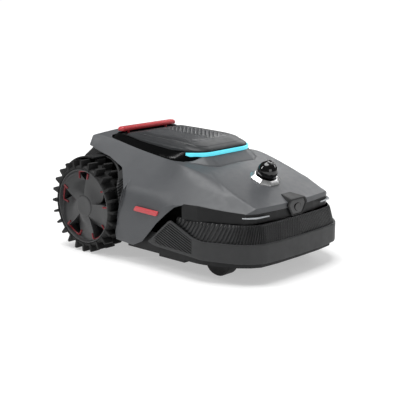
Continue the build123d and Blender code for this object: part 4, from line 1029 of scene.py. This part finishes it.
make_piece("camera_visor", solid_from(visor()), "chassis", "black_plastic", ["camera_housing"],
           sharp_deg=28)
six_face = loop(SIX * 0.79, 200, 6)
PLATE_ROWS = [(1, -4.4), (1, -1.6), (0.97, -1.0), (0.5, -0.9), (0.42, -2.2), (0.1, -2.4)]
plate_rows = np.stack([slice_of(six_face, k, k, x, 0) for k, x in PLATE_ROWS])
make_piece("camera_plate", solid_from(plate_rows), "chassis", "wheel_plastic", ["camera_face"],
           sharp_deg=30)

# %% [markdown]
# ## The corner lenses
# At each corner of the hood's lip a slim clear lens wraps round the corner. It is a thin rounded
# section carried along the lip's plan, deepest at the corner, as the light guide is on the bay.

# %% The slim lenses
LENS_Z = np.mean([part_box("corner_lenses")[0][2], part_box("corner_lenses")[1][2]]) / MM
LENS_PATH = [(238, 139.5), (243, 137.5), (256, 119), (263, 86)]
LENS_COUNT, LENS_HALF = 60, 1.1


def slim_lens():
    """The section has a round nose; its depth follows a squared sine along the path."""
    path = open_path(LENS_PATH, LENS_COUNT, 10)
    around = np.radians(np.linspace(-90, 90, 9))
    section = np.stack([2.0 + 1.2 * np.cos(around), LENS_Z + LENS_HALF * np.sin(around)], 1)
    section = np.vstack([[(-1.0, LENS_Z - LENS_HALF)], section, [(-1.0, LENS_Z + LENS_HALF)]])
    rise = 0.45 + 1.5 * np.sin(np.linspace(0.25, np.pi, LENS_COUNT)) ** 2
    return carried(path, section, rise)


make_piece("slim_lenses", both(solid_from(slim_lens())), "chassis", "clear_lens",
           ["corner_lenses"], sharp_deg=50)

# %% [markdown]
# ## Side trims
# In front of each drive wheel a narrow crescent carries short louvres; a red bar is set into each
# side panel. The crescent is stretched between a circle about the axle and the shell's edge, and
# its louvres are teeth in its depth, so they follow the curve without being placed one by one.

# %% The crescent louvres and the red bars
CRESCENT_EDGE = [(-96, 192.5), (-76, 174), (-56.5, 156), (-57, 147), (-62, 124), (-66, 108)]
CRESCENT_COUNT, CRESCENT_INSET, CRESCENT_BACK = 260, 3.2, 6.5
ARCH_R, LOUVRE_PITCH, LOUVRE_DEPTH = 110.3, 7.2, 3.4


def crescent():
    """Rows across from the arch to the shell's edge, columns along it. Each louvre is a tooth that
    rises slowly and drops fast; the teeth fade out low down."""
    outer = open_path(CRESCENT_EDGE, CRESCENT_COUNT, 5)
    centre = np.array([WHEEL_X, WHEEL_Z])
    spoke = outer - centre
    angle = np.arctan2(spoke[:, 1], spoke[:, 0])
    inner = centre + ARCH_R * np.stack([np.cos(angle), np.sin(angle)], 1)
    w = np.linspace(0, 1, 18)[:, None]
    flat = inner * (1 - w[..., None]) + outer * w[..., None]
    s = np.linspace(0, lengths(outer)[-1], CRESCENT_COUNT)
    phase = ((s + 5 * w) / LOUVRE_PITCH) % 1
    active = smooth(s, 18, 24) * (1 - smooth(s, 62, 74)) * np.clip((1 - w) / 0.16, 0, 1)
    active = active * np.clip(w / 0.14, 0, 1)
    tooth = np.minimum(phase / 0.7, (1 - phase) / 0.3)
    skin = side_y(flat[..., 0], flat[..., 1]) - CRESCENT_INSET
    depth = skin - LOUVRE_DEPTH * active * (1 - tooth)
    top = np.stack([flat[..., 0], depth, flat[..., 1]], -1)
    back = top[::-5].copy()
    back[..., 1] = (skin - CRESCENT_BACK)[::-5]
    return np.concatenate([top, back])


make_piece("arch_louvres", both(closed_strip(crescent())), "chassis", "black_plastic",
           ["side_louvres"], sharp_deg=30)
bar = loop([(-17, 119.4), (-10.5, 129.8), (57.5, 128.4), (52, 117.8)], 160, 6)
bar_steps = [(0.2, SIDE_Y - 1), (0, SIDE_Y + 1.8), (0.3, SIDE_Y + 2.5), (0.8, SIDE_Y + 2.9),
             (1.4, SIDE_Y + 3.0)]
make_piece("side_bars", both(solid_from(pad(bar, bar_steps)[..., [0, 2, 1]])), "chassis",
           "red_plastic", ["side_badges"], sharp_deg=60)

# %% [markdown]
# ## The carried-over nodes
# The rest of the machine keeps its CAD shape: the tub, the arch liners, the casters, the cutting
# deck and what lies inside. Each only needs its finish in its material slot.

# %% Finishes for the CAD nodes
NODES_BY_FINISH = {
    "black_plastic": "chassis_tub rear_housing wheel_arch_liner_right wheel_arch_liner_left "
                     "hood_lip control_panel height_knob battery_cover cutting_deck "
                     "caster_fork_right caster_fork_left",
    "dome_black": "camera_lens display_window",
    "red_plastic": "power_button",
    "button_grey": "home_button start_button ok_button",
    "wheel_plastic": "battery_pack blade_disc",
    "circuit_board": "main_board",
    "contact_metal": "charging_contacts",
    "motor_metal": "cutting_motor drive_motor_right drive_motor_left",
    "caster_rubber": "caster_wheel_right caster_wheel_left",
    "steel": "lid_hinge_pin lift_screw deck_guides blade_screws blade_a blade_b blade_c "
             "bumper_guides wheel_axle_right wheel_axle_left caster_axle_right caster_axle_left",
}
NODE_FINISH = {node: name for name, nodes in NODES_BY_FINISH.items() for node in nodes.split()}
for node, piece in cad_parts.items():
    if not piece.hide_render:
        piece.data.materials.clear()
        piece.data.materials.append(FINISHES[NODE_FINISH[node]])
print("CAD nodes shown:", sum(not o.hide_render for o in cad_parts.values()))

# %% [markdown]
# ## The studio
# A pale floor that glows a little, which keeps the shadows faint, and a surround that is white only
# to the lens. A broad sun stands almost overhead. A narrow strip on the left gives the gloss black
# wall its edge of light, a long softbox behind brightens the hood, and a low fill stands in front.

# %% Floor and lights
FLOOR_REACH, FLOOR_DROP, FLOOR_POINTS = 20000, 0.4, 13


def put_floor():
    """A wide flat grid just under the tyres."""
    axis = np.linspace(-FLOOR_REACH, FLOOR_REACH, FLOOR_POINTS)
    x, y = np.meshgrid(axis, axis, indexing="ij")
    mesh = bpy.data.meshes.new("floor")
    mesh.from_pydata((np.stack([x, y, 0 * x - FLOOR_DROP], -1).reshape(-1, 3) * MM).tolist(), [],
                     grid_faces(FLOOR_POINTS, FLOOR_POINTS))
    mesh.materials.append(make_finish("studio_floor", grey(0.60), grey(0.62), 0.8, 3.0, 0.0, 400.0,
                                      spec=0.1, glow=((1, 1, 1), 0.42)))
    put("floor", mesh)


def facing(direction):
    """The turn that points a lamp's or a camera's own -z axis along a direction."""
    return Vector(direction).to_track_quat("-Z", "Y").to_euler()


def put_lamp(name, place, aim, size, power):
    """An area lamp of size (width, height) in metres at place, turned to face aim."""
    lamp = bpy.data.lights.new(name, "AREA")
    lamp.shape, (lamp.size, lamp.size_y) = "RECTANGLE", size
    lamp.energy = power
    holder = put(name, lamp)
    holder.location = place
    holder.rotation_euler = facing(Vector(aim) - Vector(place))


def put_sun(name, toward, spread_deg, power):
    """A sun with a wide disc, which lights the whole floor evenly and keeps its shadows soft."""
    lamp = bpy.data.lights.new(name, "SUN")
    lamp.energy, lamp.angle = power, np.radians(spread_deg)
    put(name, lamp).rotation_euler = facing(-Vector(toward))


put_floor()
put_sun("high_sun", (-0.14, -0.02, 0.98), 42, 2.9)
put_lamp("edge_strip", (-1.03, -1.3, 1.42), (0.01, -0.1, 0.23), (0.08, 0.8), 11.0)
put_lamp("far_softbox", (-0.1, 2.0, 1.25), (0.1, 0.05, 0.2), (3.0, 0.6), 20)
put_lamp("front_fill", (2.3, -0.7, 0.8), (0.25, 0, 0.1), (1.2, 1.0), 8)


# %% The surround
DIM_LEVEL = 0.13


def white_surround():
    """A world that is white behind the mower and dim everywhere else: lens rays take the white."""
    world = bpy.data.worlds.new("studio")
    world.use_nodes = True
    tree = world.node_tree
    sky = tree.nodes["Background"]
    path = tree.nodes.new("ShaderNodeLightPath")
    level = tree.nodes.new("ShaderNodeMapRange")
    level.inputs["To Min"].default_value = DIM_LEVEL
    level.inputs["To Max"].default_value = 1.0
    wire(tree, path.outputs["Is Camera Ray"], level.inputs["Value"])
    wire(tree, level.outputs["Result"], sky.inputs["Strength"])
    sky.inputs["Color"].default_value = (1, 1, 1, 1)
    return world


bpy.context.scene.world = white_surround()
bpy.context.scene.view_settings.view_transform = "Standard"

# %% The camera
AZIMUTH, ELEVATION, DISTANCE = np.radians(43.1), np.radians(12.9), 2.2195
FOCAL_MM, SENSOR_MM = 88.48, 36.0
AIM = Vector((-0.0074, 0.0, 0.1107))
back = Vector((np.sin(AZIMUTH) * np.cos(ELEVATION), -np.cos(AZIMUTH) * np.cos(ELEVATION),
               np.sin(ELEVATION)))
lens = bpy.data.cameras.new("camera")
lens.lens, lens.sensor_width = FOCAL_MM, SENSOR_MM
camera = put("camera", lens)
camera.location = AIM + DISTANCE * back
camera.rotation_euler = facing(-back)
bpy.context.scene.camera = camera
print("camera at:", [round(v, 3) for v in camera.location])
